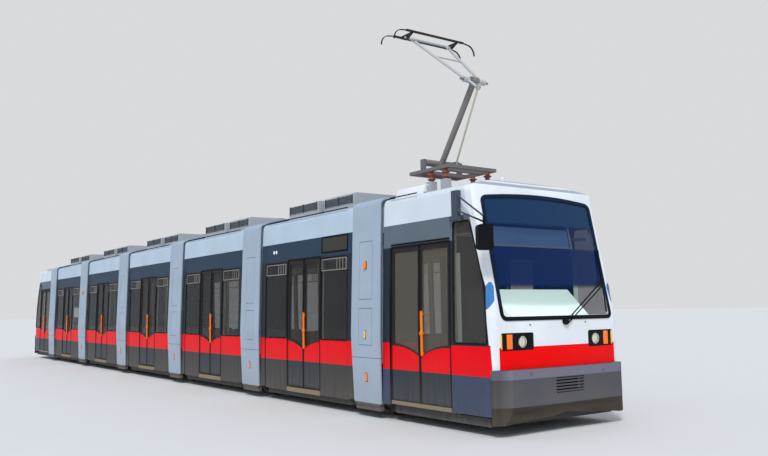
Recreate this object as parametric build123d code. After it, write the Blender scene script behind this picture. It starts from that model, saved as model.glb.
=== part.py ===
from build123d import *
import math
import os

# A low-floor articulated tram: seven short modules hung between six portals.
# Each portal carries two free wheels, one on each side, and no axle crosses the floor.
# Millimetres. +Z is up, the front faces -Y, the passenger doors are on the -X side.
# The origin is on the track's centre line, half way along, at the level that the wheels stand on.

# Driving dimensions of the whole tram
PORTAL_PITCH = 3753.0
PORTAL_COUNT = 6
MODULE_COUNT = PORTAL_COUNT + 1
END_GAP = 440.0              # from a portal's centre to the end of the module beside it
MODULE_LENGTH = PORTAL_PITCH - 2 * END_GAP
NOSE_REACH = 2722.5          # from the first portal's centre to the bumper's front

# Cross-section of a module
WAIST_X, WAIST_Z = 1150.0, 1100.0
SHOULDER_X, SHOULDER_Z = 1130.0, 2100.0
EAVES_X, EAVES_Z = 1105.0, 3030.0
CROWN_Z = 3200.0
EAVES_RADIUS = 90.0
SKIRT_Z = 200.0
WALL = 60.0
TAPER_LENGTH, TAPER_DEPTH = 120.0, 110.0

# Floor, ceiling and the seam between wall and roof
FLOOR_LOW, FLOOR_TOP = 115.0, 215.0
ROOF_SEAM_Z = 2670.0
CEILING_LOW, CEILING_TOP = 2420.0, 2445.0
JOINT_GAP = 2.0
PASSAGE_X = 560.0
BULKHEAD_X, BULKHEAD_THICK = 600.0, 30.0

# Windows and doors
WINDOW_LOW, WINDOW_TOP, WINDOW_RADIUS = 1060.0, 2330.0, 45.0
PANE_DEPTH, PANE_THICK, PANE_GAP = 6.0, 12.0, 1.0
DOOR_LOW, DOOR_TOP = 290.0, 2360.0
DOOR_WIDTH, DOOR_GAP = 1061.0, 6.0
DOOR_DEPTH, DOOR_THICK = 8.0, 42.0
LEAF_FRAME = 55.0
LEAF_GLASS_EDGE_Z, LEAF_GLASS_MID_Z, LEAF_GLASS_TOP = 1050.0, 915.0, 2290.0
STEP_LOW, STEP_TOP, STEP_OUT, STEP_IN = 195.0, 268.0, 1158.0, 1000.0

# Window openings of a middle module: side (-1 is the door side), first and last y from its centre
MID_WINDOWS = (
    (-1, -1331.5, -556.5),
    (-1, 566.5, 1331.5),
    (1, -1331.5, -556.5),
    (1, -496.5, 506.5),
    (1, 566.5, 1331.5),
)

# Roof equipment of a middle module: half width, first and last y, top
MID_ROOF_CASES = ((760.0, -980.0, -60.0, 3365.0), (820.0, 20.0, 1040.0, 3345.0))

# Seats: x of the seat's centre, y of its back, direction that it faces along y
SEAT_WIDTH, SEAT_DEPTH = 470.0, 440.0
SEAT_X = 745.0
MID_SEATS = (
    (SEAT_X, -1340.0, 1), (SEAT_X, -90.0, -1), (SEAT_X, 90.0, 1), (SEAT_X, 1340.0, -1),
    (-SEAT_X, -1340.0, 1), (-SEAT_X, 1340.0, -1),
)
POLE_RADIUS = 17.0
MID_POLES = ((-480.0, -610.0), (-480.0, 610.0), (480.0, -560.0), (480.0, 560.0))

# Nose of the first and last module, where s is the distance ahead of the portal's centre
NOSE_S = 2620.0              # front face on the centre line
NOSE_CORNER_S = 2562.0       # front face carried out to the side's plane
NOSE_CORNER_RADIUS = 120.0
INNER_FLARE = 40.0           # the inner face of a thick wall is cut wider, clear of the side's plane
RAKE_Z = 1400.0              # foot of the windscreen, where the face starts to lean back
RAKE_SLOPE = 0.205
BROW_S, BROW_Z = 2345.0, 2955.0
BROW_MID_S, BROW_MID_Z = 2110.0, 3115.0
BROW_END_S = 1650.0
NOSE_BOTTOM_Z = 240.0
BUMPER_SEAM_S = 2540.0
NOSE_CUT, LAMP_CUT = 3000.0, 2300.0     # cuts through the face run from one s to the other
END_WALL_IN = 950.0                     # side walls end here, so that nothing turns in behind the bumper
CEILING_END_S, FLOOR_END_S = 2150.0, 2440.0
END_STEPS = ((1158.0, 1080.0, 240.0), (1085.0, 1000.0, 200.0))     # outer and inner x, low z
END_SEAT_Y, END_POLE = (-600.0, -1150.0), (480.0, -1000.0)
MASK_WALL = 45.0
# Seam between the nose mask and the side walls: s, z
MASK_SEAM = ((2535.0, 780.0), (2530.0, 890.0), (2490.0, 1760.0), (2290.0, 2640.0), (2140.0, 3015.0))
MASK_LOW = 780.0

SCREEN_HALF, SCREEN_LOW, SCREEN_RADIUS = 990.0, 1405.0, 70.0
SCREEN_TOP_MID, SCREEN_TOP_EDGE = 2935.0, 2880.0
END_DOOR_FRONT, END_DOOR_BACK = 1820.0, 570.0
END_WINDOW = (1820.0, 565.0)
# Cab side window outline: s, z
CAB_WINDOW = ((1885.0, 1085.0), (2490.0, 1085.0), (2445.0, 1760.0), (2330.0, 2170.0), (2190.0, 2590.0),
              (1885.0, 2590.0))

# Bumper: plan points (half width, s) and heights
BUMPER_LOW, BUMPER_TOP, BUMPER_CHAMFER_Z = 150.0, 775.0, 350.0
BUMPER_NOTCH_Z, BUMPER_NOTCH_HALF = 240.0, 620.0
BUMPER_CORNER = (960.0, 2705.0)
BUMPER_WALL = 55.0
GRILLE = (250.0, 475.0, 660.0)
SLAT_COUNT = 5

# Lamp clusters: inner and outer half width, low and high z
LAMP_BOX = (490.0, 1010.0, 1000.0, 1210.0)
LAMP_CORNER, LAMP_INSET, LAMP_DEPTH = 30.0, 10.0, 75.0
LENS_Z, LENS_BACK, LENS_FRONT = 1100.0, 2540.0, 2576.0
LENSES = ((650.0, 75.0), (860.0, 52.0))     # x and radius of the headlamp and of the indicator

# Wiper: x and z of its pivot, of its second arm's foot and of the blade's ends
WIPER_PIVOT, WIPER_FOOT = (50.0, 1330.0), (90.0, 1310.0)
WIPER_ARM_END, WIPER_FOOT_END = (900.0, 1840.0), (935.0, 1800.0)
WIPER_BLADE = ((880.0, 1440.0), (975.0, 2260.0))
WIPER_BOSS_RADIUS, WIPER_ARM_RADIUS, WIPER_BLADE_RADIUS = 42.0, 9.0, 10.0

# Door-side mirror: post on the wall, two arms, and the head that hangs on their stub; x, s and z
MIRROR_POST = ((-1175.0, -1085.0), (1930.0, 2040.0), (2600.0, 2975.0))
MIRROR_FOOT = ((-1170.0, -1085.0), (1880.0, 2090.0), (2590.0, 2650.0))
MIRROR_HEAD = (-1300.0, 2660.0, 2330.0)
MIRROR_WIDTH, MIRROR_HEIGHT, MIRROR_THICK, MIRROR_TURN = 190.0, 300.0, 90.0, -20.0
MIRROR_STUB_TOP, MIRROR_STUB_RADIUS, MIRROR_ARM_RADIUS = 2590.0, 17.0, 11.0
MIRROR_ARMS = ((2000.0, 2930.0, 2575.0), (1980.0, 2740.0, 2510.0))   # s and z at the post, z at the stub

# Partition behind the driver: back and front s, doorway and panes
PARTITION_S = (1860.0, 1885.0)
DOORWAY_HALF, DOORWAY_TOP = 300.0, 2150.0
PARTITION_PANE = (400.0, 930.0, 1250.0, 2250.0)
DESK_PROFILE = ((2480.0, 1000.0), (2500.0, 1400.0), (2150.0, 1740.0), (2090.0, 1740.0), (2090.0, 1000.0))
DESK_X = (-760.0, 650.0)

# Aerial on the first roof: s of its centre, and its turned outline as radius and height
AERIAL_S = 1640.0
AERIAL_OUTLINE = ((0.0, -30.0), (62.0, -30.0), (62.0, 12.0), (36.0, 22.0), (32.0, 74.0), (18.0, 90.0), (0.0, 92.0))

# Portal
COVER_LOW_X, COVER_LOW_Z = 1170.0, 170.0
COVER_WAIST_X, COVER_WAIST_Z = 1200.0, 1150.0
COVER_TOP_X, COVER_TOP_Z = 1145.0, 3065.0
COVER_CROWN_Z = 3252.0
COVER_THICK = 20.0
COVER_HALF_LOW, COVER_HALF_WAIST, COVER_HALF_TOP = 335.0, 365.0, 350.0
COLUMN_HALF = 300.0
LEG_OUT = 640.0
ARCH_Z = 760.0
PASSAGE_TOP = 2300.0
BRIDGE_HALF = 365.0
TURNTABLE_RADIUS, TURNTABLE_LOW, TURNTABLE_TOP = 515.0, 220.0, 226.0
PLINTH = (1090.0, 1160.0, 106.0, 240.0)
COVER_SEAM_Z, SEAM_WIDTH, SEAM_DEPTH = 830.0, 8.0, 5.0
HATCH_HALF, HATCHES = 170.0, ((1010.0, 1535.0), (1660.0, 2495.0))     # hatches in each cover: low and high z
COVER_REACH = 400.0          # the cover's sections are drawn this long before they are trimmed
PASSAGE_CORNER = 140.0
HUB_PLATE_RADIUS = 300.0

# Wheel and stub axle
WHEEL_Z = 342.0
FLANGE_RADIUS, TREAD_RADIUS, RIM_RADIUS = 342.0, 320.0, 265.0
FLANGE_X, TREAD_X, WHEEL_OUT_X = 688.0, 712.0, 805.0
WEB_X = (732.0, 766.0)
AXLE_RADIUS, AXLE_CLEARANCE = 60.0, 0.05
SHOULDER_RADIUS, SHOULDER_END = 95.0, 676.0
HUB_IN_X, HUB_OUT_X, HUB_RADIUS = 678.0, 800.0, 110.0
CAP_X, CAP_END, CAP_RADIUS = 802.0, 814.0, 78.0

# Pantograph on the first module: s and z of its pivots
PAN_BASE_PIVOT = (350.0, 3675.0)
PAN_KNEE = (1125.0, 4775.0)
PAN_HEAD = (110.0, 5640.0)
PAN_ROD_BASE = (780.0, 3600.0)
PAN_ROD_EYE = (1305.0, 4635.0)
PAN_ROD_X, PAN_LEVER_X = -85.0, -122.0
PAN_EYE_BORE, PAN_EYE_RADIUS, PAN_ROD_THICK = 34.0, 46.0, 13.0    # the eye is open round the lever's pin
PAN_ROD_PIN, PAN_EYE_PIN, PAN_ROD_BOSS = 10.0, 12.0, 28.0
PAN_LOWER_RADIUS, PAN_UPPER_RADIUS, PAN_ROD_RADIUS = 45.0, 22.0, 14.0
PAN_PIN_RADIUS, PAN_CLEARANCE = 18.0, 0.05
PAN_FOOT_HALF, PAN_FOOT_RADIUS = 320.0, 50.0
PAN_KNEE_HALF, PAN_KNEE_RADIUS, PAN_KNEE_PIN_HALF = 60.0, 60.0, 260.0
PAN_BOSS_STARTS, PAN_BOSS_END, PAN_BOSS_RADIUS = ((-1, 106.0), (1, 66.0)), 200.0, 42.0
PAN_TUBE_X = (150.0, 360.0)           # half distance between the upper tubes at the knee and at the head
PAN_TIE_SHARE, PAN_TIE_HALF, PAN_TIE_RADIUS = 0.55, 260.0, 12.0
PAN_BRACE_SHARE, PAN_BRACE_RADIUS = 0.12, 10.0

# Base frame of the pantograph, on four insulators
PAN_BASE_HALF, PAN_BASE_S, PAN_BASE_Z, PAN_BASE_BAR = 460.0, (150.0, 1050.0), (3490.0, 3540.0), 60.0
PAN_LUG_X, PAN_LUG_REACH = (330.0, 370.0), 45.0
ROD_LUG_X, ROD_LUG_REACH = (20.0, 40.0), 32.0
INSULATOR_X, INSULATOR_S = 400.0, (600.0, 920.0)
INSULATOR_FOOT_TOP, INSULATOR_FOOT_HALF = 3340.0, 55.0
INSULATOR_OUTLINE = ((0, 0), (34, 0), (34, 18), (60, 32), (60, 42), (34, 56), (34, 84), (60, 98), (60, 108),
                     (34, 122), (34, 155), (0, 155))

# Head of the pantograph: contact strips, their spacing and the horns at their ends
STRIP_HALF, STRIP_SPACING, STRIP_WIDTH, STRIP_HEIGHT, STRIP_TOP = 560.0, 330.0, 34.0, 26.0, 60.0
HORN_STRAIGHT = ((555.0, 47.0), (660.0, 32.0))
HORN_CURL, HORN_ARC, HORN_WIDTH, HORN_THICK = 150.0, 85.0, 24.0, 12.0
HANGER_X, HANGER_THICK, HEAD_PIN_HALF, HEAD_PIN_RADIUS = 440.0, 12.0, 462.0, 16.0


def portal_y(number):
    """y of a portal's centre; portals are numbered from 1 at the front."""
    return (number - 1 - (PORTAL_COUNT - 1) / 2) * PORTAL_PITCH


def along_y(face, y0, y1):
    """A section drawn in x and z, extruded from y0 to y1."""
    drawing = Plane(origin=(0, y1, 0), x_dir=(1, 0, 0), z_dir=(0, -1, 0))
    return extrude(drawing * face, y1 - y0)


def along_x(face, x0, x1):
    """An outline drawn in y and z, extruded from x0 to x1."""
    drawing = Plane(origin=(x0, 0, 0), x_dir=(0, 1, 0), z_dir=(1, 0, 0))
    return extrude(drawing * face, x1 - x0)


def along_z(face, z0, z1):
    """A plan drawn in x and y, extruded from z0 to z1."""
    return extrude(Plane.XY.offset(z0) * face, z1 - z0)


def polygon(points, radius=0.0):
    """A closed outline of straight lines, its corners rounded if a radius is given."""
    face = make_face(Polyline(*points, close=True))
    return fillet(face.vertices(), radius) if radius else face


def box(x0, x1, y0, y1, z0, z1):
    return Pos((x0 + x1) / 2, (y0 + y1) / 2, (z0 + z1) / 2) * Box(x1 - x0, y1 - y0, z1 - z0)


def rod(start, end, radius):
    """A round bar between two points."""
    a, b = Vector(*start), Vector(*end)
    return extrude(Plane(origin=a, z_dir=b - a) * Circle(radius), (b - a).length)


def side_prism(face, side):
    """An outline in y and z carried through one side wall; side is -1 or 1."""
    return along_x(face, 800.0, 1300.0) if side > 0 else along_x(face, -1300.0, -800.0)


def body_section(inset=0.0, bottom=SKIRT_Z, crown=CROWN_Z):
    """The module's cross-section, drawn smaller by the inset."""
    right = ((WAIST_X - inset, bottom), (WAIST_X - inset, WAIST_Z), (SHOULDER_X - inset, SHOULDER_Z),
             (EAVES_X - inset, EAVES_Z - inset))
    left = tuple((-x, z) for x, z in reversed(right))
    lines = Polyline(*right) + ThreePointArc(right[-1], (0, crown - inset), left[0])
    lines += Polyline(*left) + Line(left[-1], right[0])
    face = make_face(lines)
    corners = [v for v in face.vertices() if abs(v.Y - (EAVES_Z - inset)) < 1.0]
    return fillet(corners, EAVES_RADIUS - inset)


def mid_form(inset=0.0, bottom=SKIRT_Z):
    """The whole outer form of a middle module, drawn in by the inset and run out past its ends."""
    half, over = MODULE_LENGTH / 2, 40.0 if inset else 0.0
    wide, narrow = WAIST_X - inset, WAIST_X - TAPER_DEPTH - inset
    plan = ((wide, half - TAPER_LENGTH), (narrow, half), (narrow, half + over + 1.0))
    plan += tuple((-x, y) for x, y in reversed(plan))
    plan += tuple((-x, -y) for x, y in plan[:6])
    prism = along_z(polygon(plan), 0.0, 3400.0)
    return along_y(body_section(inset, bottom), -half - over, half + over) & prism


def tail_plan(inset=0.0):
    """Plan of an end module's back end: straight sides that draw in just before the portal."""
    wide, narrow = WAIST_X + 20.0, WAIST_X - TAPER_DEPTH - inset
    end = END_GAP - 40.0 if inset else END_GAP
    slope_s = END_GAP + TAPER_LENGTH * (wide - narrow) / TAPER_DEPTH
    right = ((narrow, -end), (narrow, -END_GAP - 0.5), (wide, -slope_s), (wide, -3000.0))
    return polygon(right + tuple((-x, y) for x, y in reversed(right)))


def nose_plan(inset=0.0):
    """Plan of the nose: straight sides, rounded corners and a slightly crowned face."""
    flare = INNER_FLARE if inset > INNER_FLARE else 0.0
    wide, corner_s = WAIST_X - inset + flare, NOSE_CORNER_S - inset
    right = ((wide, 900.0), (wide, -corner_s))
    left = tuple((-x, y) for x, y in reversed(right))
    lines = Polyline(*right) + ThreePointArc(right[-1], (0, -(NOSE_S - inset)), left[0])
    lines += Polyline(*left) + Line(left[-1], right[0])
    face = make_face(lines)
    return fillet([v for v in face.vertices() if v.Y < 0], NOSE_CORNER_RADIUS - inset + flare)


def brow_face(inset=0.0):
    """Side outline whose top front corner curves from the windscreen's head up to the roof."""
    points = ((-BROW_END_S, CROWN_Z - inset + 1.0), (10.0, CROWN_Z - inset + 1.0), (10.0, -10.0), (-3000.0, -10.0),
              (-3000.0, BROW_Z - inset), (-(BROW_S - inset), BROW_Z - inset))
    arc = ThreePointArc(points[-1], (-(BROW_MID_S - inset), BROW_MID_Z - inset), points[0])
    return make_face(Polyline(*points) + arc)


def nose_form(inset=0.0, bottom=NOSE_BOTTOM_Z):
    """The whole outer form of an end module, its face leaning back above the windscreen's foot."""
    nose = nose_plan(inset)
    leaning = extrude(Plane.XY.offset(RAKE_Z) * nose, 2100.0, dir=(0, RAKE_SLOPE, 1))
    front = along_z(nose, -20.0, RAKE_Z) + leaning
    section = along_y(body_section(inset, bottom), -NOSE_REACH, 0.0)
    form = section & along_z(tail_plan(inset), -20.0, 3500.0)
    form = form & along_x(brow_face(inset), -1300, 1300)
    return form & front


def window_face(y0, y1, z0=WINDOW_LOW, z1=WINDOW_TOP, shrink=0.0):
    points = ((y0 + shrink, z0 + shrink), (y1 - shrink, z0 + shrink), (y1 - shrink, z1 - shrink),
              (y0 + shrink, z1 - shrink))
    return polygon(points, WINDOW_RADIUS - shrink)


def leaf_glass_face(y_edge, y_mid, shrink=0.0):
    """Glass of one door leaf: its lower edge sweeps down towards the middle of the door."""
    way = 1.0 if y_mid > y_edge else -1.0
    a, b = y_edge + way * shrink, y_mid - way * shrink
    low_a, low_b, top = LEAF_GLASS_EDGE_Z + shrink, LEAF_GLASS_MID_Z + shrink, LEAF_GLASS_TOP - shrink
    lines = ThreePointArc((a, low_a), ((a + b) / 2, (low_a + low_b) / 2 + 28.0), (b, low_b))
    lines += Polyline((b, low_b), (b, top), (a, top), (a, low_a))
    face = make_face(lines)
    return fillet([v for v in face.vertices() if v.Y > top - 1.0], 30.0)


def door_leaves(center, width):
    """The two leaves of a door: the edge and middle y of each."""
    half = width / 2
    return ((center - half, center - DOOR_GAP / 2), (center + half, center + DOOR_GAP / 2))


def door_opening(center, width):
    return window_face(center - width / 2 - 5.0, center + width / 2 + 5.0, 0.0, DOOR_TOP + 6.0)


def door_pieces(skin_out, skin_in, glass_out, glass_in, center, width, side):
    """Door leaves with their glass cut out, and the panes that fill them."""
    leaves, panes = [], []
    for edge, middle in door_leaves(center, width):
        low, high = min(edge, middle), max(edge, middle)
        way = 1.0 if middle > edge else -1.0
        leaf = (skin_out & side_prism(window_face(low, high, DOOR_LOW, DOOR_TOP), side)) - skin_in
        glass_edge, glass_mid = edge + way * LEAF_FRAME, middle - way * (LEAF_FRAME - 15.0)
        leaf -= side_prism(leaf_glass_face(glass_edge, glass_mid), side)
        leaves.append(leaf)
        pane = (glass_out & side_prism(leaf_glass_face(glass_edge, glass_mid, PANE_GAP), side)) - glass_in
        panes.append(pane)
    return leaves, panes


def seat(x, y_back, facing):
    """A moulded seat on its pedestal, drawn from the side and extruded to its width."""
    profile = ((40, 0), (330, 0), (330, 190), (SEAT_DEPTH, 210), (SEAT_DEPTH, 250), (95, 235), (35, 900), (0, 900),
               (0, 250), (40, 190))
    points = tuple((y_back + facing * d, FLOOR_TOP + h) for d, h in profile)
    return along_x(polygon(points), x - SEAT_WIDTH / 2, x + SEAT_WIDTH / 2)


def fittings(seats, poles):
    """The seats and poles that stand on the floor slab, each a solid of its own."""
    pieces = [seat(x, y_back, facing) for x, y_back, facing in seats]
    pieces += [rod((x, y, FLOOR_TOP), (x, y, CEILING_LOW - JOINT_GAP), POLE_RADIUS) for x, y in poles]
    return pieces


def bulkheads(lining, y0, y1):
    """End walls on both sides of the passage, fitted inside the lining of the side walls."""
    low, high = FLOOR_TOP + JOINT_GAP, CEILING_LOW - JOINT_GAP
    return [lining & box(BULKHEAD_X, 1300, y0, y1, low, high), lining & box(-1300, -BULKHEAD_X, y0, y1, low, high)]


def middle_module():
    """Shell, floor, doors and glass of a middle module, about its own centre."""
    half = MODULE_LENGTH / 2
    outer, inner = mid_form(), mid_form(WALL, 0.0)
    shell = outer - inner
    left = shell & box(-1300, -500, -half, half, 0, ROOF_SEAM_Z - JOINT_GAP)
    right = shell & box(500, 1300, -half, half, 0, ROOF_SEAM_Z - JOINT_GAP)
    roof = shell & box(-1300, 1300, -half, half, ROOF_SEAM_Z, 3400)
    glass_out, glass_in = mid_form(PANE_DEPTH), mid_form(PANE_DEPTH + PANE_THICK)
    panes = []
    for side, y0, y1 in MID_WINDOWS:
        cut = side_prism(window_face(y0, y1), side)
        left, right = (left - cut, right) if side < 0 else (left, right - cut)
        panes.append((glass_out & side_prism(window_face(y0, y1, shrink=PANE_GAP), side)) - glass_in)
    left -= side_prism(door_opening(0.0, DOOR_WIDTH), -1)
    leaves, door_panes = door_pieces(mid_form(DOOR_DEPTH), mid_form(DOOR_DEPTH + DOOR_THICK),
                                     mid_form(DOOR_DEPTH + 12.0), mid_form(DOOR_DEPTH + 24.0), 0.0, DOOR_WIDTH, -1)
    for case_half, y0, y1, top in MID_ROOF_CASES:
        case = along_y(polygon(((-case_half, 3040), (case_half, 3040), (case_half, top), (-case_half, top)), 35), y0, y1)
        roof += case - mid_form(20.0)
    lining = mid_form(WALL + JOINT_GAP, 0.0)
    ceiling = lining & box(-1300, 1300, -half, half, CEILING_LOW, CEILING_TOP)
    slab = lining & box(-1300, 1300, -half, half, FLOOR_LOW, FLOOR_TOP)
    step = box(-STEP_OUT, -STEP_IN, -DOOR_WIDTH / 2, DOOR_WIDTH / 2, STEP_LOW, STEP_TOP - JOINT_GAP) - slab
    floor = [slab, step] + fittings(MID_SEATS, MID_POLES)
    ends = bulkheads(lining, -half, -half + BULKHEAD_THICK) + bulkheads(lining, half - BULKHEAD_THICK, half)
    return {"shell": [left, right, roof, ceiling] + ends, "floor": floor, "doors": leaves,
            "glass": panes + door_panes}


def seam_prism(front):
    """Space ahead of (or behind) the seam between the nose mask and the side walls."""
    shift = 0.0 if front else JOINT_GAP
    seam = [(-(s - shift), z) for s, z in MASK_SEAM]
    top = (seam[-1][0], 3400.0)
    far = -3000.0 if front else 0.0
    points = [(far, seam[0][1])] + seam + [top, (far, 3400.0)]
    if not front:
        points = [(far, 0.0), (-(BUMPER_SEAM_S - JOINT_GAP), 0.0), (-(BUMPER_SEAM_S - JOINT_GAP), MASK_LOW - 2)] + points[1:]
    return along_x(polygon(points), -1300, 1300)


def screen_face(shrink=0.0):
    """The windscreen's outline in x and z, seen from the front."""
    half, low, edge = SCREEN_HALF - shrink, SCREEN_LOW + shrink, SCREEN_TOP_EDGE - shrink
    lines = Polyline((-half + 20, edge), (-half, low), (half, low), (half - 20, edge))
    lines += ThreePointArc((half - 20, edge), (0, SCREEN_TOP_MID - shrink), (-half + 20, edge))
    face = make_face(lines)
    return fillet(face.vertices(), SCREEN_RADIUS - shrink)


def lamp_cluster(side, face):
    """A lamp cluster behind the mask: its housing, with the lenses set back in their seats."""
    housing = nose_form(LAMP_INSET) & along_y(offset(face, -JOINT_GAP), -NOSE_CUT, -LAMP_CUT)
    housing = (housing - nose_form(LAMP_DEPTH, 0.0)) & seam_prism(True)
    for x, radius in LENSES:
        housing -= rod((side * x, -NOSE_CUT, LENS_Z), (side * x, -LENS_BACK - 5.0, LENS_Z), radius)
        housing += rod((side * x, -LENS_FRONT, LENS_Z), (side * x, -LENS_BACK, LENS_Z), radius)
    return housing


def partition_pieces(lining):
    """The wall behind the driver: two panels with window openings, a lintel, and the panes."""
    s0, s1 = PARTITION_S
    wall = lining & box(-1300, 1300, -s1, -s0, FLOOR_TOP, CEILING_LOW - JOINT_GAP)
    lintel = wall & box(-DOORWAY_HALF, DOORWAY_HALF, -s1, -s0, DOORWAY_TOP, CEILING_LOW)
    walls, panes = [lintel], []
    x_in, x_out, low, high = PARTITION_PANE
    for side in (-1, 1):
        a, b = sorted((side * DOORWAY_HALF, side * 1300.0))
        panel = wall & box(a, b, -s1, -s0, FLOOR_TOP, CEILING_LOW)
        a, b = sorted((side * x_in, side * x_out))
        walls.append(panel - box(a, b, -s1, -s0, low, high))
        middle = -(s0 + s1) / 2
        panes.append(box(a + PANE_GAP, b - PANE_GAP, middle - PANE_THICK / 2, middle + PANE_THICK / 2,
                         low + PANE_GAP, high - PANE_GAP))
    return walls, panes


def aerial():
    """A small turned aerial on the first roof."""
    profile = Plane.XZ * make_face(Polyline(*AERIAL_OUTLINE, close=True))
    return Pos(0, -AERIAL_S, CROWN_Z) * revolve(profile, Axis.Z, 360)


def end_module(door_side, cab):
    """Pieces of an end module, drawn as a front module about its portal's centre."""
    front_y, back_y = -NOSE_REACH, -END_GAP
    outer, inner = nose_form(), nose_form(WALL, 0.0)
    shell = ((outer - inner) & seam_prism(False)) - along_y(screen_face(), -NOSE_CUT, -LAMP_CUT)
    left = shell & box(-1300, -END_WALL_IN, front_y, back_y, 0, ROOF_SEAM_Z - JOINT_GAP)
    right = shell & box(END_WALL_IN, 1300, front_y, back_y, 0, ROOF_SEAM_Z - JOINT_GAP)
    roof = shell & box(-1300, 1300, front_y, back_y, ROOF_SEAM_Z, 3400)
    if cab:
        roof += aerial()
    glass_out, glass_in = nose_form(PANE_DEPTH), nose_form(PANE_DEPTH + PANE_THICK)
    cab_points = tuple((-s, z) for s, z in CAB_WINDOW)
    panes = []
    sides = {-1: left, 1: right}
    center = -(END_DOOR_FRONT + END_DOOR_BACK) / 2
    width = END_DOOR_FRONT - END_DOOR_BACK
    for side in (-1, 1):
        cut = polygon(cab_points, 40.0)
        sides[side] -= side_prism(cut, side)
        pane = offset(cut, -PANE_GAP)
        panes.append((glass_out & side_prism(pane, side)) - glass_in)
        if side == door_side:
            sides[side] -= side_prism(door_opening(center, width), side)
        else:
            y0, y1 = -END_WINDOW[0], -END_WINDOW[1]
            sides[side] -= side_prism(window_face(y0, y1), side)
            panes.append((glass_out & side_prism(window_face(y0, y1, shrink=PANE_GAP), side)) - glass_in)
    leaves, door_panes = door_pieces(nose_form(DOOR_DEPTH), nose_form(DOOR_DEPTH + DOOR_THICK),
                                     nose_form(DOOR_DEPTH + 12.0), nose_form(DOOR_DEPTH + 24.0),
                                     center, width, door_side)
    mask = ((outer - nose_form(MASK_WALL, 0.0)) & seam_prism(True)) & box(-1300, 1300, -NOSE_CUT, 0, MASK_LOW, 3400)
    mask -= along_y(screen_face(), -NOSE_CUT, -BROW_MID_S + 200.0)
    screen = (glass_out & along_y(screen_face(PANE_GAP), -NOSE_CUT, -BROW_MID_S + 200.0)) - glass_in
    panes.append(screen)
    lamps = []
    x0, x1, z0, z1 = LAMP_BOX
    for side in (-1, 1):
        face = polygon(((side * x0, z0), (side * x1, z0), (side * x1, z1), (side * x0, z1)), LAMP_CORNER)
        mask -= along_y(face, -NOSE_CUT, -LAMP_CUT)
        lamps.append(lamp_cluster(side, face))
    lining = nose_form(WALL + JOINT_GAP, 0.0)
    ceiling = lining & box(-1300, 1300, -CEILING_END_S, back_y, CEILING_LOW, CEILING_TOP)
    slab = lining & box(-1300, 1300, -FLOOR_END_S, back_y, FLOOR_LOW, FLOOR_TOP)
    step = None
    for x_out, x_in, low in END_STEPS:
        x0, x1 = sorted((door_side * x_out, door_side * x_in))
        tread = box(x0, x1, center - width / 2, center + width / 2, low, DOOR_LOW - JOINT_GAP)
        step = tread if step is None else step + tread
    seats = tuple((-door_side * SEAT_X, y, -1) for y in END_SEAT_Y)
    poles = ((door_side * END_POLE[0], END_POLE[1]),)
    walls, wall_panes = partition_pieces(lining)
    floor = [slab, step - slab] + walls + fittings(seats, poles)
    ends = bulkheads(lining, back_y - BULKHEAD_THICK, back_y)
    return {"shell": [sides[-1], sides[1], roof, ceiling] + ends, "floor": floor, "doors": leaves,
            "glass": panes + door_panes + wall_panes, "mask": [mask], "lamps": lamps, "bumper": [bumper(cab)]}


def bumper(front):
    """The bumper: a hollow moulding with chamfered foot, a shallow notch and, in front, a grille."""
    def plan(inset):
        x, s = BUMPER_CORNER
        seam = BUMPER_SEAM_S - (20.0 if inset else 0.0)
        right = ((1155.0 - inset, -seam), (1155.0 - inset, -(BUMPER_SEAM_S + 45.0)), (x, -(s - inset)))
        left = tuple((-a, b) for a, b in reversed(right))
        lines = Polyline(*right) + ThreePointArc(right[-1], (0, -(NOSE_REACH - inset)), left[0])
        lines += Polyline(*left) + Line(left[-1], right[0])
        face = make_face(lines)
        near = [v for v in face.vertices() if abs(v.Y + seam) > 1.0]
        return fillet(near, 60.0)

    shape = along_z(plan(0.0), BUMPER_LOW, BUMPER_TOP) - along_z(plan(BUMPER_WALL), 0.0, BUMPER_TOP - BUMPER_WALL)
    profile = ((-2400, BUMPER_LOW + 40), (-2600, BUMPER_LOW - 1), (-3000, BUMPER_LOW - 1), (-3000, BUMPER_TOP + 1),
               (-2400, BUMPER_TOP + 1))
    foot = ((-NOSE_REACH - 1, BUMPER_CHAMFER_Z), (-NOSE_REACH + 75.0, BUMPER_LOW - 1), (-3000, BUMPER_LOW - 1),
            (-3000, BUMPER_CHAMFER_Z))
    shape = (shape & along_x(polygon(profile), -1300, 1300)) - along_x(polygon(foot), -1300, 1300)
    notch = ((-BUMPER_NOTCH_HALF, 0), (-BUMPER_NOTCH_HALF, BUMPER_LOW), (0, BUMPER_NOTCH_Z),
             (BUMPER_NOTCH_HALF, BUMPER_LOW), (BUMPER_NOTCH_HALF, 0))
    shape -= along_y(polygon(notch), -3000, -2300)
    if front:
        half, low, high = GRILLE
        shape -= box(-half, half, -3000, -2500, low, high)
        pitch = (high - low) / SLAT_COUNT
        for number in range(SLAT_COUNT):
            z = low + (number + 0.5) * pitch
            shape += box(-half - 5, half + 5, -2712, -2680, z - 9, z + 9)
    return shape


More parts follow.
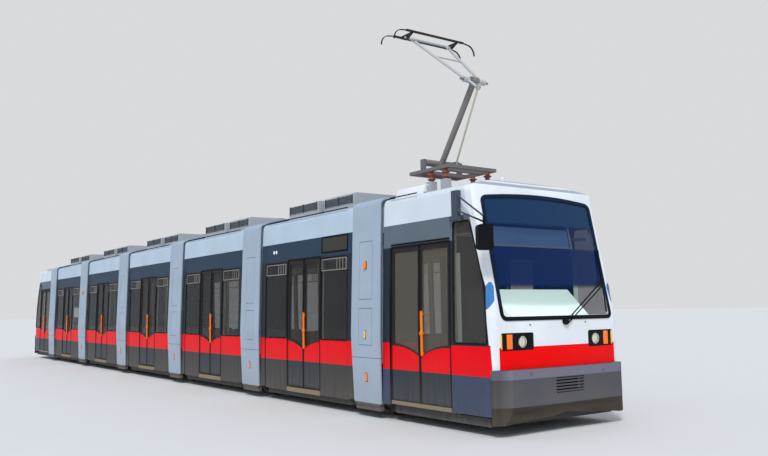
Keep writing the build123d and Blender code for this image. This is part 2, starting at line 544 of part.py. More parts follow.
def portal():
    """One portal about its own centre: covers, columns, bridge, turntable and stub axles."""
    def section(inset):
        right = ((COVER_LOW_X - inset, COVER_LOW_Z), (COVER_WAIST_X - inset, COVER_WAIST_Z),
                 (COVER_TOP_X - inset, COVER_TOP_Z - inset))
        if inset:
            right = ((right[0][0] - 5.0, 0.0),) + right
        left = tuple((-x, z) for x, z in reversed(right))
        lines = Polyline(*right) + ThreePointArc(right[-1], (0, COVER_CROWN_Z - inset), left[0])
        lines += Polyline(*left) + Line(left[-1], right[0])
        face = make_face(lines)
        corners = [v for v in face.vertices() if abs(v.Y - (COVER_TOP_Z - inset)) < 1.0]
        return fillet(corners, EAVES_RADIUS - inset)

    outline = ((-COVER_HALF_LOW, COVER_LOW_Z), (COVER_HALF_LOW, COVER_LOW_Z), (COVER_HALF_WAIST, COVER_WAIST_Z),
               (COVER_HALF_TOP, 3400), (-COVER_HALF_TOP, 3400), (-COVER_HALF_WAIST, COVER_WAIST_Z))
    face = polygon(outline)
    face = fillet([v for v in face.vertices() if v.Y < COVER_LOW_Z + 1], 70.0)
    reach = COVER_REACH
    cover = along_y(section(0.0), -reach, reach) - along_y(section(COVER_THICK), -reach, reach)
    cover &= along_x(face, -1300, 1300)
    ring = along_y(section(0.0), -reach, reach) - along_y(section(SEAM_DEPTH), -reach, reach)
    cover -= ring & box(-1300, 1300, -reach, reach, COVER_SEAM_Z, COVER_SEAM_Z + SEAM_WIDTH)
    inner = HATCH_HALF - SEAM_WIDTH
    for low, high in HATCHES:
        outline = box(-1300, 1300, -HATCH_HALF, HATCH_HALF, low, high)
        outline -= box(-1301, 1301, -inner, inner, low + SEAM_WIDTH, high - SEAM_WIDTH)
        cover -= ring & outline

    frame = along_y(section(COVER_THICK - 5.0), -COLUMN_HALF, COLUMN_HALF)
    frame &= box(-1300, 1300, -COLUMN_HALF, COLUMN_HALF, ARCH_Z, 3400)
    passage = polygon(((-PASSAGE_X, 0), (PASSAGE_X, 0), (PASSAGE_X, PASSAGE_TOP), (-PASSAGE_X, PASSAGE_TOP)))
    passage = fillet([v for v in passage.vertices() if v.Y > 1], PASSAGE_CORNER)
    frame -= along_y(passage, -reach, reach)
    for side in (-1, 1):
        x0, x1 = sorted((side * PASSAGE_X, side * LEG_OUT))
        frame += box(x0, x1, -COLUMN_HALF, COLUMN_HALF, FLOOR_LOW, ARCH_Z + 10)
        frame += rod((side * (LEG_OUT - 10), 0, WHEEL_Z), (side * SHOULDER_END, 0, WHEEL_Z), SHOULDER_RADIUS)
        frame += rod((side * (LEG_OUT - 10), 0, WHEEL_Z), (side * CAP_END, 0, WHEEL_Z), AXLE_RADIUS)
        frame += rod((side * CAP_X, 0, WHEEL_Z), (side * CAP_END, 0, WHEEL_Z), CAP_RADIUS)
        x0, x1 = sorted((side * PLINTH[0], side * PLINTH[1]))
        cover += box(x0, x1, -COLUMN_HALF, COLUMN_HALF, PLINTH[2], PLINTH[3])
    frame += box(-PASSAGE_X - 10, PASSAGE_X + 10, -BRIDGE_HALF, BRIDGE_HALF, FLOOR_LOW, FLOOR_TOP)
    frame += Pos(0, 0, (FLOOR_TOP + TURNTABLE_TOP) / 2 - 2) * Cylinder(HUB_PLATE_RADIUS, TURNTABLE_TOP - FLOOR_TOP + 2)
    frame += Pos(0, 0, (TURNTABLE_LOW + TURNTABLE_TOP) / 2) * Cylinder(TURNTABLE_RADIUS, TURNTABLE_TOP - TURNTABLE_LOW)
    return frame + cover


def wheel(side):
    """A rail wheel turned about the x axis: hub, dished web, tread and inner flange."""
    bore = AXLE_RADIUS + AXLE_CLEARANCE
    profile = ((HUB_IN_X, bore), (HUB_OUT_X, bore), (HUB_OUT_X, HUB_RADIUS), (WEB_X[1], HUB_RADIUS),
               (WEB_X[1], RIM_RADIUS), (WHEEL_OUT_X, RIM_RADIUS), (WHEEL_OUT_X, TREAD_RADIUS),
               (TREAD_X, TREAD_RADIUS), (FLANGE_X + 8, FLANGE_RADIUS), (FLANGE_X, FLANGE_RADIUS - 8),
               (FLANGE_X, RIM_RADIUS), (WEB_X[0], RIM_RADIUS), (WEB_X[0], HUB_RADIUS), (HUB_IN_X, HUB_RADIUS))
    points = tuple((side * x, r) for x, r in profile)
    face = Plane.XZ * polygon(points)
    return Pos(0, 0, WHEEL_Z) * revolve(face, Axis.X, 360)


def pan_point(point, x=0.0):
    """A pantograph point given as s and z, in the front portal's frame."""
    return (x, -point[0], point[1])


def pan_tube(start, end, radius, x0=0.0, x1=None):
    return rod(pan_point(start, x0), pan_point(end, x0 if x1 is None else x1), radius)


def cross_bar(point, half, radius):
    return rod(pan_point(point, -half), pan_point(point, half), radius)


def between(start, end, share):
    return tuple(a + share * (b - a) for a, b in zip(start, end))


def pan_base():
    """Frame on four insulators, with the lugs and pins of the lower arm and of the thrust rod."""
    s0, s1 = PAN_BASE_S
    z0, z1 = PAN_BASE_Z
    half, bar = PAN_BASE_HALF, PAN_BASE_BAR
    base = box(-half, half, -s1, -s0, z0, z1) - box(-half + bar, half - bar, -s1 + bar, -s0 - bar, z0 - 1, z1 + 1)
    for s in (PAN_BASE_PIVOT[0] + bar, PAN_ROD_BASE[0]):
        base += box(-half, half, -s - bar / 2, -s + bar / 2, z0, z1)
    insulator = revolve(Plane.XZ * polygon(INSULATOR_OUTLINE), Axis.Z, 360)
    foot = INSULATOR_FOOT_HALF
    for x in (-INSULATOR_X, INSULATOR_X):
        for s in INSULATOR_S:
            base += Pos(x, -s, INSULATOR_FOOT_TOP - 1.0) * insulator
            base += box(x - foot, x + foot, -s - foot, -s + foot, EAVES_Z, INSULATOR_FOOT_TOP) - nose_form()
    s, z = PAN_BASE_PIVOT
    for side in (-1, 1):
        x0, x1 = sorted((side * PAN_LUG_X[0], side * PAN_LUG_X[1]))
        base += box(x0, x1, -s - PAN_LUG_REACH, -s + PAN_LUG_REACH, z1 - 5.0, z + PAN_LUG_REACH)
    base += cross_bar(PAN_BASE_PIVOT, PAN_LUG_X[1], PAN_PIN_RADIUS)
    s, z = PAN_ROD_BASE
    for side in (-1, 1):
        x0, x1 = sorted((PAN_ROD_X + side * ROD_LUG_X[0], PAN_ROD_X + side * ROD_LUG_X[1]))
        base += box(x0, x1, -s - ROD_LUG_REACH, -s + ROD_LUG_REACH, z1 - 5.0, z + ROD_LUG_REACH)
    pin_start, pin_end = PAN_ROD_X - ROD_LUG_X[1], PAN_ROD_X + ROD_LUG_X[1]
    return base + rod(pan_point(PAN_ROD_BASE, pin_start), pan_point(PAN_ROD_BASE, pin_end), PAN_ROD_PIN)


def pan_arms():
    """Lower arm with its foot and knee, and upper arm with the lever that the thrust rod holds."""
    hole = PAN_PIN_RADIUS + PAN_CLEARANCE
    lower = cross_bar(PAN_BASE_PIVOT, PAN_FOOT_HALF, PAN_FOOT_RADIUS)
    lower += pan_tube(PAN_BASE_PIVOT, PAN_KNEE, PAN_LOWER_RADIUS)
    lower += cross_bar(PAN_KNEE, PAN_KNEE_HALF, PAN_KNEE_RADIUS)
    lower += cross_bar(PAN_KNEE, PAN_KNEE_PIN_HALF, PAN_PIN_RADIUS)
    lower -= cross_bar(PAN_BASE_PIVOT, PAN_FOOT_HALF + 5.0, hole)

    upper = cross_bar(PAN_HEAD, HEAD_PIN_HALF, HEAD_PIN_RADIUS)
    for side, start in PAN_BOSS_STARTS:
        upper += pan_tube(PAN_KNEE, PAN_HEAD, PAN_UPPER_RADIUS, side * PAN_TUBE_X[0], side * PAN_TUBE_X[1])
        upper += rod(pan_point(PAN_KNEE, side * start), pan_point(PAN_KNEE, side * PAN_BOSS_END), PAN_BOSS_RADIUS)
    upper += cross_bar(between(PAN_KNEE, PAN_HEAD, PAN_TIE_SHARE), PAN_TIE_HALF, PAN_TIE_RADIUS)
    upper += pan_tube(PAN_KNEE, PAN_ROD_EYE, PAN_BRACE_RADIUS * 2, PAN_LEVER_X)
    brace_x = -(PAN_TUBE_X[0] + PAN_BRACE_SHARE * (PAN_TUBE_X[1] - PAN_TUBE_X[0]))
    upper += pan_tube(between(PAN_KNEE, PAN_HEAD, PAN_BRACE_SHARE), PAN_ROD_EYE, PAN_BRACE_RADIUS, brace_x, PAN_LEVER_X)
    pin_end = PAN_ROD_X + PAN_ROD_THICK + 3.0
    upper += rod(pan_point(PAN_ROD_EYE, PAN_LEVER_X - PAN_EYE_PIN), pan_point(PAN_ROD_EYE, pin_end), PAN_EYE_PIN)
    return lower, upper - cross_bar(PAN_KNEE, PAN_KNEE_PIN_HALF + 40.0, hole)


def pan_rod():
    """Thrust rod: a closed eye on the frame's pin and an open one round the lever's pin."""
    eye_end = between(PAN_ROD_EYE, PAN_ROD_BASE, (PAN_EYE_RADIUS - 6.0) / math.dist(PAN_ROD_EYE, PAN_ROD_BASE))
    thrust = pan_tube(PAN_ROD_BASE, eye_end, PAN_ROD_RADIUS, PAN_ROD_X)
    near, far = PAN_ROD_X - PAN_ROD_THICK, PAN_ROD_X + PAN_ROD_THICK
    for point, radius in ((PAN_ROD_BASE, PAN_ROD_BOSS), (PAN_ROD_EYE, PAN_EYE_RADIUS)):
        thrust += rod(pan_point(point, near), pan_point(point, far), radius)
    for point, radius in ((PAN_ROD_BASE, PAN_ROD_PIN + PAN_CLEARANCE), (PAN_ROD_EYE, PAN_EYE_BORE)):
        thrust -= rod(pan_point(point, near - 5.0), pan_point(point, far + 5.0), radius)
    return thrust


def pan_head():
    """Two contact strips with horns that curl down, on hangers that turn on the upper arm's pin."""
    head_s, head_z = PAN_HEAD
    start, bend = HORN_STRAIGHT
    straight = Line(start, bend)
    path = straight + JernArc(bend, straight % 1, HORN_CURL, -HORN_ARC)
    head = None
    for shift in (-STRIP_SPACING / 2, STRIP_SPACING / 2):
        y, top = -(head_s + shift), head_z + STRIP_TOP
        strip = box(-STRIP_HALF, STRIP_HALF, y - STRIP_WIDTH / 2, y + STRIP_WIDTH / 2, top - STRIP_HEIGHT, top)
        head = strip if head is None else head + strip
        drawing = Plane(origin=(0, y, head_z), x_dir=(1, 0, 0), z_dir=(0, -1, 0))
        line = drawing * path
        section = Plane(origin=line @ 0, x_dir=(0, 1, 0), z_dir=line % 0) * Rectangle(HORN_WIDTH, HORN_THICK)
        horn = sweep(section, line)
        head += horn
        head += mirror(horn, Plane.YZ)
    for side in (-1, 1):
        x0, x1 = side * HANGER_X - HANGER_THICK, side * HANGER_X + HANGER_THICK
        y, reach = -head_s, STRIP_SPACING / 2
        top = head_z + STRIP_TOP - STRIP_HEIGHT / 2
        outline = polygon(((y - reach, top), (y - reach, top - 20.0), (y - 34.0, head_z - 34.0),
                           (y + 34.0, head_z - 34.0), (y + reach, top - 20.0), (y + reach, top)))
        head += along_x(outline, x0, x1)
        head -= rod((x0 - 1.0, y, head_z), (x1 + 1.0, y, head_z), HEAD_PIN_RADIUS + PAN_CLEARANCE)
    return head


def pantograph():
    """The five pieces of the pantograph, drawn about the first portal's centre."""
    lower, upper = pan_arms()
    return {"pantograph_base": pan_base(), "pantograph_lower_arm": lower, "pantograph_upper_arm": upper,
            "pantograph_rod": pan_rod(), "pantograph_head": pan_head()}


def on_screen(point, out):
    """A point given as x and z, this far ahead of the windscreen's face."""
    x, z = point
    lean = max(0.0, z - RAKE_Z) * RAKE_SLOPE
    crown = (NOSE_S - NOSE_CORNER_S) * (x / WAIST_X) ** 2
    return (x, -(NOSE_S - crown - lean + out), z)


def wiper():
    """Pivot boss, double arm and blade, lying just ahead of the windscreen's right half."""
    boss = rod(on_screen(WIPER_PIVOT, -20), on_screen(WIPER_PIVOT, 38), WIPER_BOSS_RADIUS)
    arms = rod(on_screen(WIPER_PIVOT, 28), on_screen(WIPER_ARM_END, 30), WIPER_ARM_RADIUS)
    arms += rod(on_screen(WIPER_FOOT, 28), on_screen(WIPER_FOOT_END, 30), WIPER_ARM_RADIUS - 1)
    blade = rod(on_screen(WIPER_BLADE[0], 22), on_screen(WIPER_BLADE[1], 22), WIPER_BLADE_RADIUS)
    return (boss + arms + blade) - nose_form()


def mirror_arm():
    """Door-side mirror: a post on the wall, two arms, and the head that hangs on their stub."""
    (x0, x1), (s0, s1), (z0, z1) = MIRROR_POST
    post = box(x0, x1, -s1, -s0, z0, z1)
    (x0, x1), (s0, s1), (z0, z1) = MIRROR_FOOT
    post = (post + box(x0, x1, -s1, -s0, z0, z1)) - nose_form()
    head_x, head_s, head_z = MIRROR_HEAD
    arms = rod((head_x, -head_s, head_z), (head_x, -head_s, MIRROR_STUB_TOP), MIRROR_STUB_RADIUS)
    for s, z, z_end in MIRROR_ARMS:
        arms += rod((-WAIST_X - 5.0, -s, z), (head_x, -head_s, z_end), MIRROR_ARM_RADIUS)
    outline = fillet((Plane.XZ * Rectangle(MIRROR_WIDTH, MIRROR_HEIGHT)).vertices(), 45)
    head = extrude(outline, MIRROR_THICK / 2, both=True)
    return post + arms + Pos(head_x, -head_s, head_z) * Rot(0, 0, MIRROR_TURN) * head


def cab_desk():
    """Driver's desk: a sloping cowl behind the windscreen on a plain console."""
    return along_x(polygon(tuple((-s, z) for s, z in DESK_PROFILE)), *DESK_X)


def compound(pieces):
    solids = []
    for piece in pieces:
        solids += list(piece.solids())
    return solids[0] if len(solids) == 1 else Compound(children=solids)


def main():
    os.makedirs("parts", exist_ok=True)
    nodes = {}
    first, last = portal_y(1), portal_y(PORTAL_COUNT)
    front = end_module(-1, True)
    rear = end_module(1, False)
    middle = middle_module()
    turned = Pos(0, last, 0) * Rot(0, 0, 180)
    for kind in ("shell", "floor", "doors", "glass"):
        nodes[f"module_1_{kind}"] = [Pos(0, first, 0) * piece for piece in front[kind]]
        nodes[f"module_{MODULE_COUNT}_{kind}"] = [turned * piece for piece in rear[kind]]
        for number in range(2, MODULE_COUNT):
            centre = (portal_y(number - 1) + portal_y(number)) / 2
            nodes[f"module_{number}_{kind}"] = [Pos(0, centre, 0) * piece for piece in middle[kind]]
    for kind in ("mask", "lamps", "bumper"):
        nodes[f"front_{kind}"] = [Pos(0, first, 0) * piece for piece in front[kind]]
        nodes[f"rear_{kind}"] = [turned * piece for piece in rear[kind]]
    nodes["wiper"] = [Pos(0, first, 0) * wiper()]
    nodes["mirror"] = [Pos(0, first, 0) * mirror_arm()]
    nodes["cab_desk"] = [Pos(0, first, 0) * cab_desk()]
    frame = portal()
    wheels = {side: wheel(side) for side in (-1, 1)}
    for number in range(1, PORTAL_COUNT + 1):
        place = Pos(0, portal_y(number), 0)
        nodes[f"portal_{number}"] = [place * frame]
        nodes[f"wheel_{number}_door_side"] = [place * wheels[-1]]
        nodes[f"wheel_{number}_far_side"] = [place * wheels[1]]
    for name, piece in pantograph().items():
        nodes[name] = [Pos(0, first, 0) * piece]
    for name, pieces in nodes.items():
        export_step(compound(pieces), f"parts/{name}.step")


main()
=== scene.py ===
# %% [markdown]
# # A low-floor articulated tram
# Seven short modules hang between six wheel portals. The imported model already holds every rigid
# form at its real place, so this lesson adds the finishes and the thin things that a body shop
# fits last: rubber seals, handles, gutters, louvres, bellows, aprons, lamps and small plates.

# %% Load the frame
import math

import bpy
from mathutils import Matrix, Vector


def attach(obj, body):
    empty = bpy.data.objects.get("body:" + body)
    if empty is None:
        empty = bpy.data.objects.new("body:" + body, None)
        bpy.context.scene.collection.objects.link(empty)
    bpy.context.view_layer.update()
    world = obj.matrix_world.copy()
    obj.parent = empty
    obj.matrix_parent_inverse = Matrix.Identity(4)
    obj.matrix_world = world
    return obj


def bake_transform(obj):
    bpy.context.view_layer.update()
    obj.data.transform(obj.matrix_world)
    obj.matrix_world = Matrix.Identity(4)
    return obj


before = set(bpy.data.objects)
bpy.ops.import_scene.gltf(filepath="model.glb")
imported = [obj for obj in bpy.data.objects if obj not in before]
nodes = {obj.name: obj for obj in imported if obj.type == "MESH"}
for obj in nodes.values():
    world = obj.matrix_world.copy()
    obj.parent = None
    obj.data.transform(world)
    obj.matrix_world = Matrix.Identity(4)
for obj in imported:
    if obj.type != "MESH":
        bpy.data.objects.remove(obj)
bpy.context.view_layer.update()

print("the packed model has", len(nodes), "nodes")

# %% [markdown]
# ## Where things are
# The tram looks towards -Y and its doors are on the -X side. The portals stand one pitch apart,
# and the middle modules hang half way between them. Most places follow from that pitch, so it is
# written once and the rest is worked out from it.

# %% Driving places, in metres
PITCH = 3.753
PORTALS = [(number - 3.5) * PITCH for number in range(1, 7)]
MIDDLES = [(number - 4) * PITCH for number in range(2, 7)]
MODULES, END_MODULES = range(1, 8), (1, 7)
ENDS = (("front", 1, PORTALS[0]), ("rear", 7, PORTALS[-1]))
DOOR_SIDE = -1
HALF_MODULE, TAPER = 1.4365, 0.120
WALL_LEVELS = ((0.20, 1.150), (1.10, 1.150), (2.10, 1.130), (3.03, 1.105))     # z and x
WALL_THICK = 0.060
RED_LOW, RED_HIGH = 0.700, 1.055
GLASS_TOP, ROOF_SEAM, ROOF_FROM = 2.360, 2.670, 3.100
FACE_MIDDLE, FACE_SIDE, RAKE, RAKE_FROM = 2.620, 2.562, 0.205, 1.400
END_DOOR = 1.195      # from an end portal to the middle of the door beside it


def at_level(levels, z):
    """A measure at height z, on straight lines through pairs of height and measure."""
    for (low, first), (high, last) in zip(levels, levels[1:]):
        if z <= high:
            return first + (last - first) * max(0.0, (z - low) / (high - low))
    return levels[-1][1]


def wall_x(z):
    """Distance of the outer wall face from the middle plane at height z."""
    return at_level(WALL_LEVELS, z)


def face_s(x, z):
    """How far ahead of the end portal's centre the raked front face lies at x and z."""
    bow = (FACE_MIDDLE - FACE_SIDE) * (x / WALL_LEVELS[0][1]) ** 2
    return FACE_MIDDLE - bow - RAKE * max(0.0, z - RAKE_FROM)


print("portals at y =", [round(y, 2) for y in PORTALS])

# %% [markdown]
# ## Small helpers for modelling
# Every piece starts as a primitive at its real size and place. An operator works on all that is
# selected, so each helper first deselects everything. A finished piece keeps its place in its
# mesh and its object at the origin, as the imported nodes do, because the finishes are painted by
# height and length along the tram.

# %% Helpers that start and shape a mesh
def alone(piece):
    """Makes piece the only selected object, and the active one."""
    bpy.ops.object.select_all(action="DESELECT")
    piece.select_set(True)
    bpy.context.view_layer.objects.active = piece


def started(name):
    """Names the primitive that was just added, and puts its place into its mesh."""
    piece = bpy.context.object
    piece.name = piece.data.name = name
    bpy.ops.object.transform_apply(location=True, rotation=True, scale=True)
    return piece


def edges_rounded(piece, bevel, segments):
    """Rounds every edge of a piece."""
    bpy.ops.object.mode_set(mode="EDIT")
    bpy.ops.mesh.select_all(action="SELECT")
    bpy.ops.mesh.bevel(offset=bevel, segments=segments, affect="EDGES")
    bpy.ops.object.mode_set(mode="OBJECT")
    return piece


def block(name, low, high, bevel, segments=2):
    """A block between two corners, with its edges rounded."""
    bpy.ops.object.select_all(action="DESELECT")
    centre = [(a + b) / 2 for a, b in zip(low, high)]
    size = [abs(b - a) for a, b in zip(low, high)]
    bpy.ops.mesh.primitive_cube_add(size=1, location=centre, scale=size)
    return edges_rounded(started(name), bevel, segments)


def disc(name, centre, radius, depth, axis, vertices, bevel):
    """A round piece about the X or Y axis, with its edges rounded."""
    bpy.ops.object.select_all(action="DESELECT")
    turn = {"x": (0, math.pi / 2, 0), "y": (math.pi / 2, 0, 0)}[axis]
    bpy.ops.mesh.primitive_cylinder_add(vertices=vertices, radius=radius, depth=depth,
                                        location=centre, rotation=turn)
    return edges_rounded(started(name), bevel, 2)


def tube(name, points, radius, closed=False, sides=8):
    """A round rail through some points, made as a bevelled curve and then a mesh."""
    curve = bpy.data.curves.new(name, "CURVE")
    curve.dimensions = "3D"
    curve.bevel_depth = radius
    curve.bevel_resolution = sides // 4 - 1
    curve.use_fill_caps = not closed
    line = curve.splines.new("POLY")
    line.points.add(len(points) - 1)
    for place, point in zip(line.points, points):
        place.co = (*point, 1)
    line.use_cyclic_u = closed
    piece = bpy.data.objects.new(name, curve)
    bpy.context.scene.collection.objects.link(piece)
    alone(piece)
    bpy.ops.object.convert(target="MESH")
    return bpy.context.object


def thickened(piece, depth):
    """Gives a sheet its thickness, on the side that it faces."""
    alone(piece)
    solid = piece.modifiers.new("thickness", "SOLIDIFY")
    solid.thickness, solid.offset = depth, 1
    bpy.ops.object.modifier_apply(modifier=solid.name)
    return piece


print("a mesh can be started and shaped")

# %% [markdown]
# ## Joining, copying and finishing
# Many small parts make one piece, so they are joined. What repeats is modelled once and copied
# with a mesh of its own. Every piece then gets its finish, shading that keeps its sharp edges, and
# the body that it rides on.

# %% Helpers that join, copy and finish pieces
SHARP_FROM = math.radians(35)


def joined(name, pieces):
    """Joins pieces into one object."""
    bpy.ops.object.select_all(action="DESELECT")
    for piece in pieces:
        piece.select_set(True)
    bpy.context.view_layer.objects.active = pieces[0]
    if len(pieces) > 1:
        bpy.ops.object.join()
    whole = bpy.context.object
    whole.name = whole.data.name = name
    return whole


def copied(piece, name, y, turned=False, mirrored=False):
    """A copy with its own mesh, mirrored across X, turned half round Z and moved along the tram."""
    twin = piece.copy()
    twin.data = piece.data.copy()
    twin.name = twin.data.name = name
    bpy.context.scene.collection.objects.link(twin)
    if mirrored:
        twin.data.transform(Matrix.Scale(-1, 4, (1, 0, 0)))
        twin.data.flip_normals()
    if turned:
        twin.data.transform(Matrix.Rotation(math.pi, 4, "Z"))
    return moved(twin, y)


def moved(piece, y):
    """Moves a piece along the tram."""
    piece.data.transform(Matrix.Translation((0, y, 0)))
    return piece


def painted(piece, material):
    """Gives a new piece its finish, and smooth shading that keeps its sharp edges."""
    piece.data.materials.clear()
    piece.data.materials.append(material)
    alone(piece)
    bpy.ops.object.shade_smooth_by_angle(angle=SHARP_FROM)


def finish_piece(piece, body, material):
    """Gives a piece its finish, and lets it ride on a body."""
    painted(piece, material)
    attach(piece, body)


def dress(pattern, places, material):
    """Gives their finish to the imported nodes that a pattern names."""
    for place in places:
        nodes[pattern.format(place)].data.materials[0] = material


print("pieces can be joined, copied and finished")

# %% [markdown]
# ## Node helpers
# A finish is a small network of nodes. Writing it by hand for each finish is long, so one helper
# adds a node and fills its sockets, either with a number or with another node's output, and short
# words stand for the sums and comparisons that the finishes need most.

# %% Helpers that add a node
def fill(tree, made, sockets):
    """Fills some sockets of a node, each with a number or with another node's output."""
    for key, value in sockets.items():
        if isinstance(value, bpy.types.NodeSocket):
            tree.links.new(value, made.inputs[key])
        else:
            made.inputs[key].default_value = value


def node(tree, kind, sockets, **settings):
    """A new node with its settings made and its sockets filled."""
    made = tree.nodes.new(kind)
    for key, value in settings.items():
        setattr(made, key, value)
    fill(tree, made, sockets)
    return made


def maths(tree, operation, first, second=0.0, clamp=False):
    """One Math node's result."""
    made = node(tree, "ShaderNodeMath", {0: first, 1: second}, operation=operation, use_clamp=clamp)
    return made.outputs[0]


def plus(tree, first, second):
    """The sum of two values."""
    return maths(tree, "ADD", first, second)


def minus(tree, first, second):
    """The first value less the second."""
    return maths(tree, "SUBTRACT", first, second)


def times(tree, first, second):
    """The product of two values; of two masks, where both are 1."""
    return maths(tree, "MULTIPLY", first, second)


def unsigned(tree, value):
    """A value without its sign, which treats both sides or both ends of the tram alike."""
    return maths(tree, "ABSOLUTE", value)


def over(tree, value, limit):
    """1 where a value is above a limit."""
    return maths(tree, "GREATER_THAN", value, limit)


def under(tree, value, limit):
    """1 where a value is below a limit."""
    return maths(tree, "LESS_THAN", value, limit)


def within(tree, value, low, high):
    """1 where a value lies between two limits."""
    return times(tree, over(tree, value, low), under(tree, value, high))


def ranged(tree, value, start, end, low=0.0, high=1.0):
    """From low to high, while a value goes from start to end."""
    return node(tree, "ShaderNodeMapRange", {"Value": value, 1: start, 2: end, 3: low, 4: high}).outputs[0]


def axes(tree, place):
    """The X, Y and Z of a place."""
    return node(tree, "ShaderNodeSeparateXYZ", {0: place}).outputs


def noise(tree, place, scale, detail):
    """Soft noise between 0 and 1."""
    return node(tree, "ShaderNodeTexNoise", {"Vector": place, "Scale": scale, "Detail": detail}).outputs[0]


def bumped(tree, height, strength, distance):
    """The normal of a surface that rises and falls with a height."""
    made = node(tree, "ShaderNodeBump", {"Strength": strength, "Distance": distance, "Height": height})
    return made.outputs[0]


def mixed(tree, factor, first, second):
    """Colour first where factor is 0 and second where it is 1."""
    return node(tree, "ShaderNodeMix", {0: factor, 6: first, 7: second}, data_type="RGBA").outputs[2]


print("nodes can be added")

# %% [markdown]
# ## Colours, groups and materials
# A shader takes linear values, while a colour picked from a picture is not linear, so it is
# converted. A group and a material are each started by a helper that hands over the sockets.

# %% Helpers that start a colour, a group or a material
def srgb(red, green, blue):
    """A colour given as 0 to 255 in a picture, as the linear values that a shader takes."""
    def linear(value):
        share = value / 255
        return share / 12.92 if share <= 0.04045 else ((share + 0.055) / 1.055) ** 2.4
    return (linear(red), linear(green), linear(blue), 1.0)


def group(name, inputs, outputs):
    """An empty node group: its tree, what it is given and what it gives. Rows name its sockets."""
    tree = bpy.data.node_groups.new(name, "ShaderNodeTree")
    kinds = {"vector": "NodeSocketVector", "colour": "NodeSocketColor", "number": "NodeSocketFloat"}
    for way, rows in (("INPUT", inputs), ("OUTPUT", outputs)):
        for label, kind in rows:
            tree.interface.new_socket(label, in_out=way, socket_type=kinds[kind])
    return tree, tree.nodes.new("NodeGroupInput").outputs, tree.nodes.new("NodeGroupOutput").inputs


def finish(name):
    """A new material: its node tree, its shader and its Object coordinates."""
    material = bpy.data.materials.new(name)
    material.use_nodes = True
    tree = material.node_tree
    place = tree.nodes.new("ShaderNodeTexCoord").outputs["Object"]
    return material, tree, tree.nodes["Principled BSDF"], place


def at_place(given, tree, place):
    """A plain value as it is, or what a function of tree and place makes of them."""
    return given(tree, place) if callable(given) else given


def with_painted_sunlight(material, colour, strength):
    """Painted light: lets a finish glow a little, standing in for the sun that falls on pale plastic behind
    the windscreen.
    """
    tree = material.node_tree
    fill(tree, tree.nodes["Principled BSDF"], {"Emission Color": colour, "Emission Strength": strength})
    return material


print("groups and materials can be started")

# %% [markdown]
# ## Shared effect: weathered paint
# Even clean paint is never one flat colour. It has faint clouds of tone, tiny orange-peel bumps,
# and a film of road dust that thickens towards the ground. One group gives all three, so each
# painted part only says its colour and how dusty it is.

# %% Group: weathered surface
DUST_FROM, DUST_FULL, DUST = 1.3, 0.1, srgb(150, 140, 126)
STREAKED = (1.0, 14.0, 0.9)      # squeezes the noise along the tram, so that dust lies in upright streaks
CLOUD_LEVELS, CLOUD_TONES = (0.3, 0.7), (0.94, 1.05)
DUST_ROUGHER, CLOUD_ROUGHER = 0.5, 0.12

weather, given, result = group(
    "weathered surface",
    [("Vector", "vector"), ("Colour", "colour"), ("Roughness", "number"), ("Dust", "number"),
     ("Peel", "number")],
    [("Colour", "colour"), ("Roughness", "number"), ("Height", "number")])
clouds = noise(weather, given["Vector"], scale=1.7, detail=6.0)
streak_place = node(weather, "ShaderNodeMapping", {"Vector": given["Vector"], "Scale": STREAKED}).outputs[0]
streaks = noise(weather, streak_place, scale=1.6, detail=3.0)
low_down = ranged(weather, axes(weather, given["Vector"])[2], DUST_FROM, DUST_FULL)
film = times(weather, maths(weather, "POWER", low_down, 2.0), streaks)
film = maths(weather, "MULTIPLY", film, given["Dust"], clamp=True)
tone = ranged(weather, clouds, *CLOUD_LEVELS, *CLOUD_TONES)
toned = node(weather, "ShaderNodeVectorMath", {0: given["Colour"], 3: tone}, operation="SCALE").outputs[0]
rough = plus(weather, given["Roughness"], times(weather, film, DUST_ROUGHER))
rough = maths(weather, "ADD", rough, times(weather, clouds, CLOUD_ROUGHER), clamp=True)
weather.links.new(mixed(weather, film, toned, DUST), result["Colour"])
weather.links.new(rough, result["Roughness"])
weather.links.new(noise(weather, given["Vector"], scale=given["Peel"], detail=2.0), result["Height"])
print("weathered surface group:", len(weather.nodes), "nodes")

# %% [markdown]
# ## One function for paint, plastic, rubber and metal
# A material places the group, gives it a colour and a roughness of its own, and feeds what comes
# out to its shader. The colour may be a function of place, and so one solid gets several colours.

# %% A finish that uses the group
PEEL_DEPTH, COAT_ROUGHNESS, PAINT_MIRROR = 0.002, 0.08, 0.07


def weathered(name, colour, roughness, dust=0.3, peel=60.0, bump=0.02, metallic=0.0, coat=0.0):
    """Paint, plastic, rubber or metal. colour is a value, or a function of tree and place."""
    material, tree, shader, place = finish(name)
    effect = node(tree, "ShaderNodeGroup", {
        "Vector": place, "Colour": at_place(colour, tree, place), "Roughness": roughness,
        "Dust": dust, "Peel": peel}, node_tree=weather).outputs
    fill(tree, shader, {
        "Base Color": effect["Colour"], "Roughness": effect["Roughness"], "Metallic": metallic,
        "Normal": bumped(tree, effect["Height"], bump, PEEL_DEPTH), "Coat Weight": coat,
        "Coat Roughness": COAT_ROUGHNESS, "Specular IOR Level": PAINT_MIRROR})
    return material


print("weathered finishes can be made")

# %% [markdown]
# ## The livery
# The side of a module is painted in bands: a dark skirt, a bright red belt, a dark window band
# and a pale roof edge. All modules share one band plan by height, so the lines run through from
# end to end, also over the tapered ends beside the portals, and the end modules have paler tones.
# Inside the walls the same solids show a cream lining.

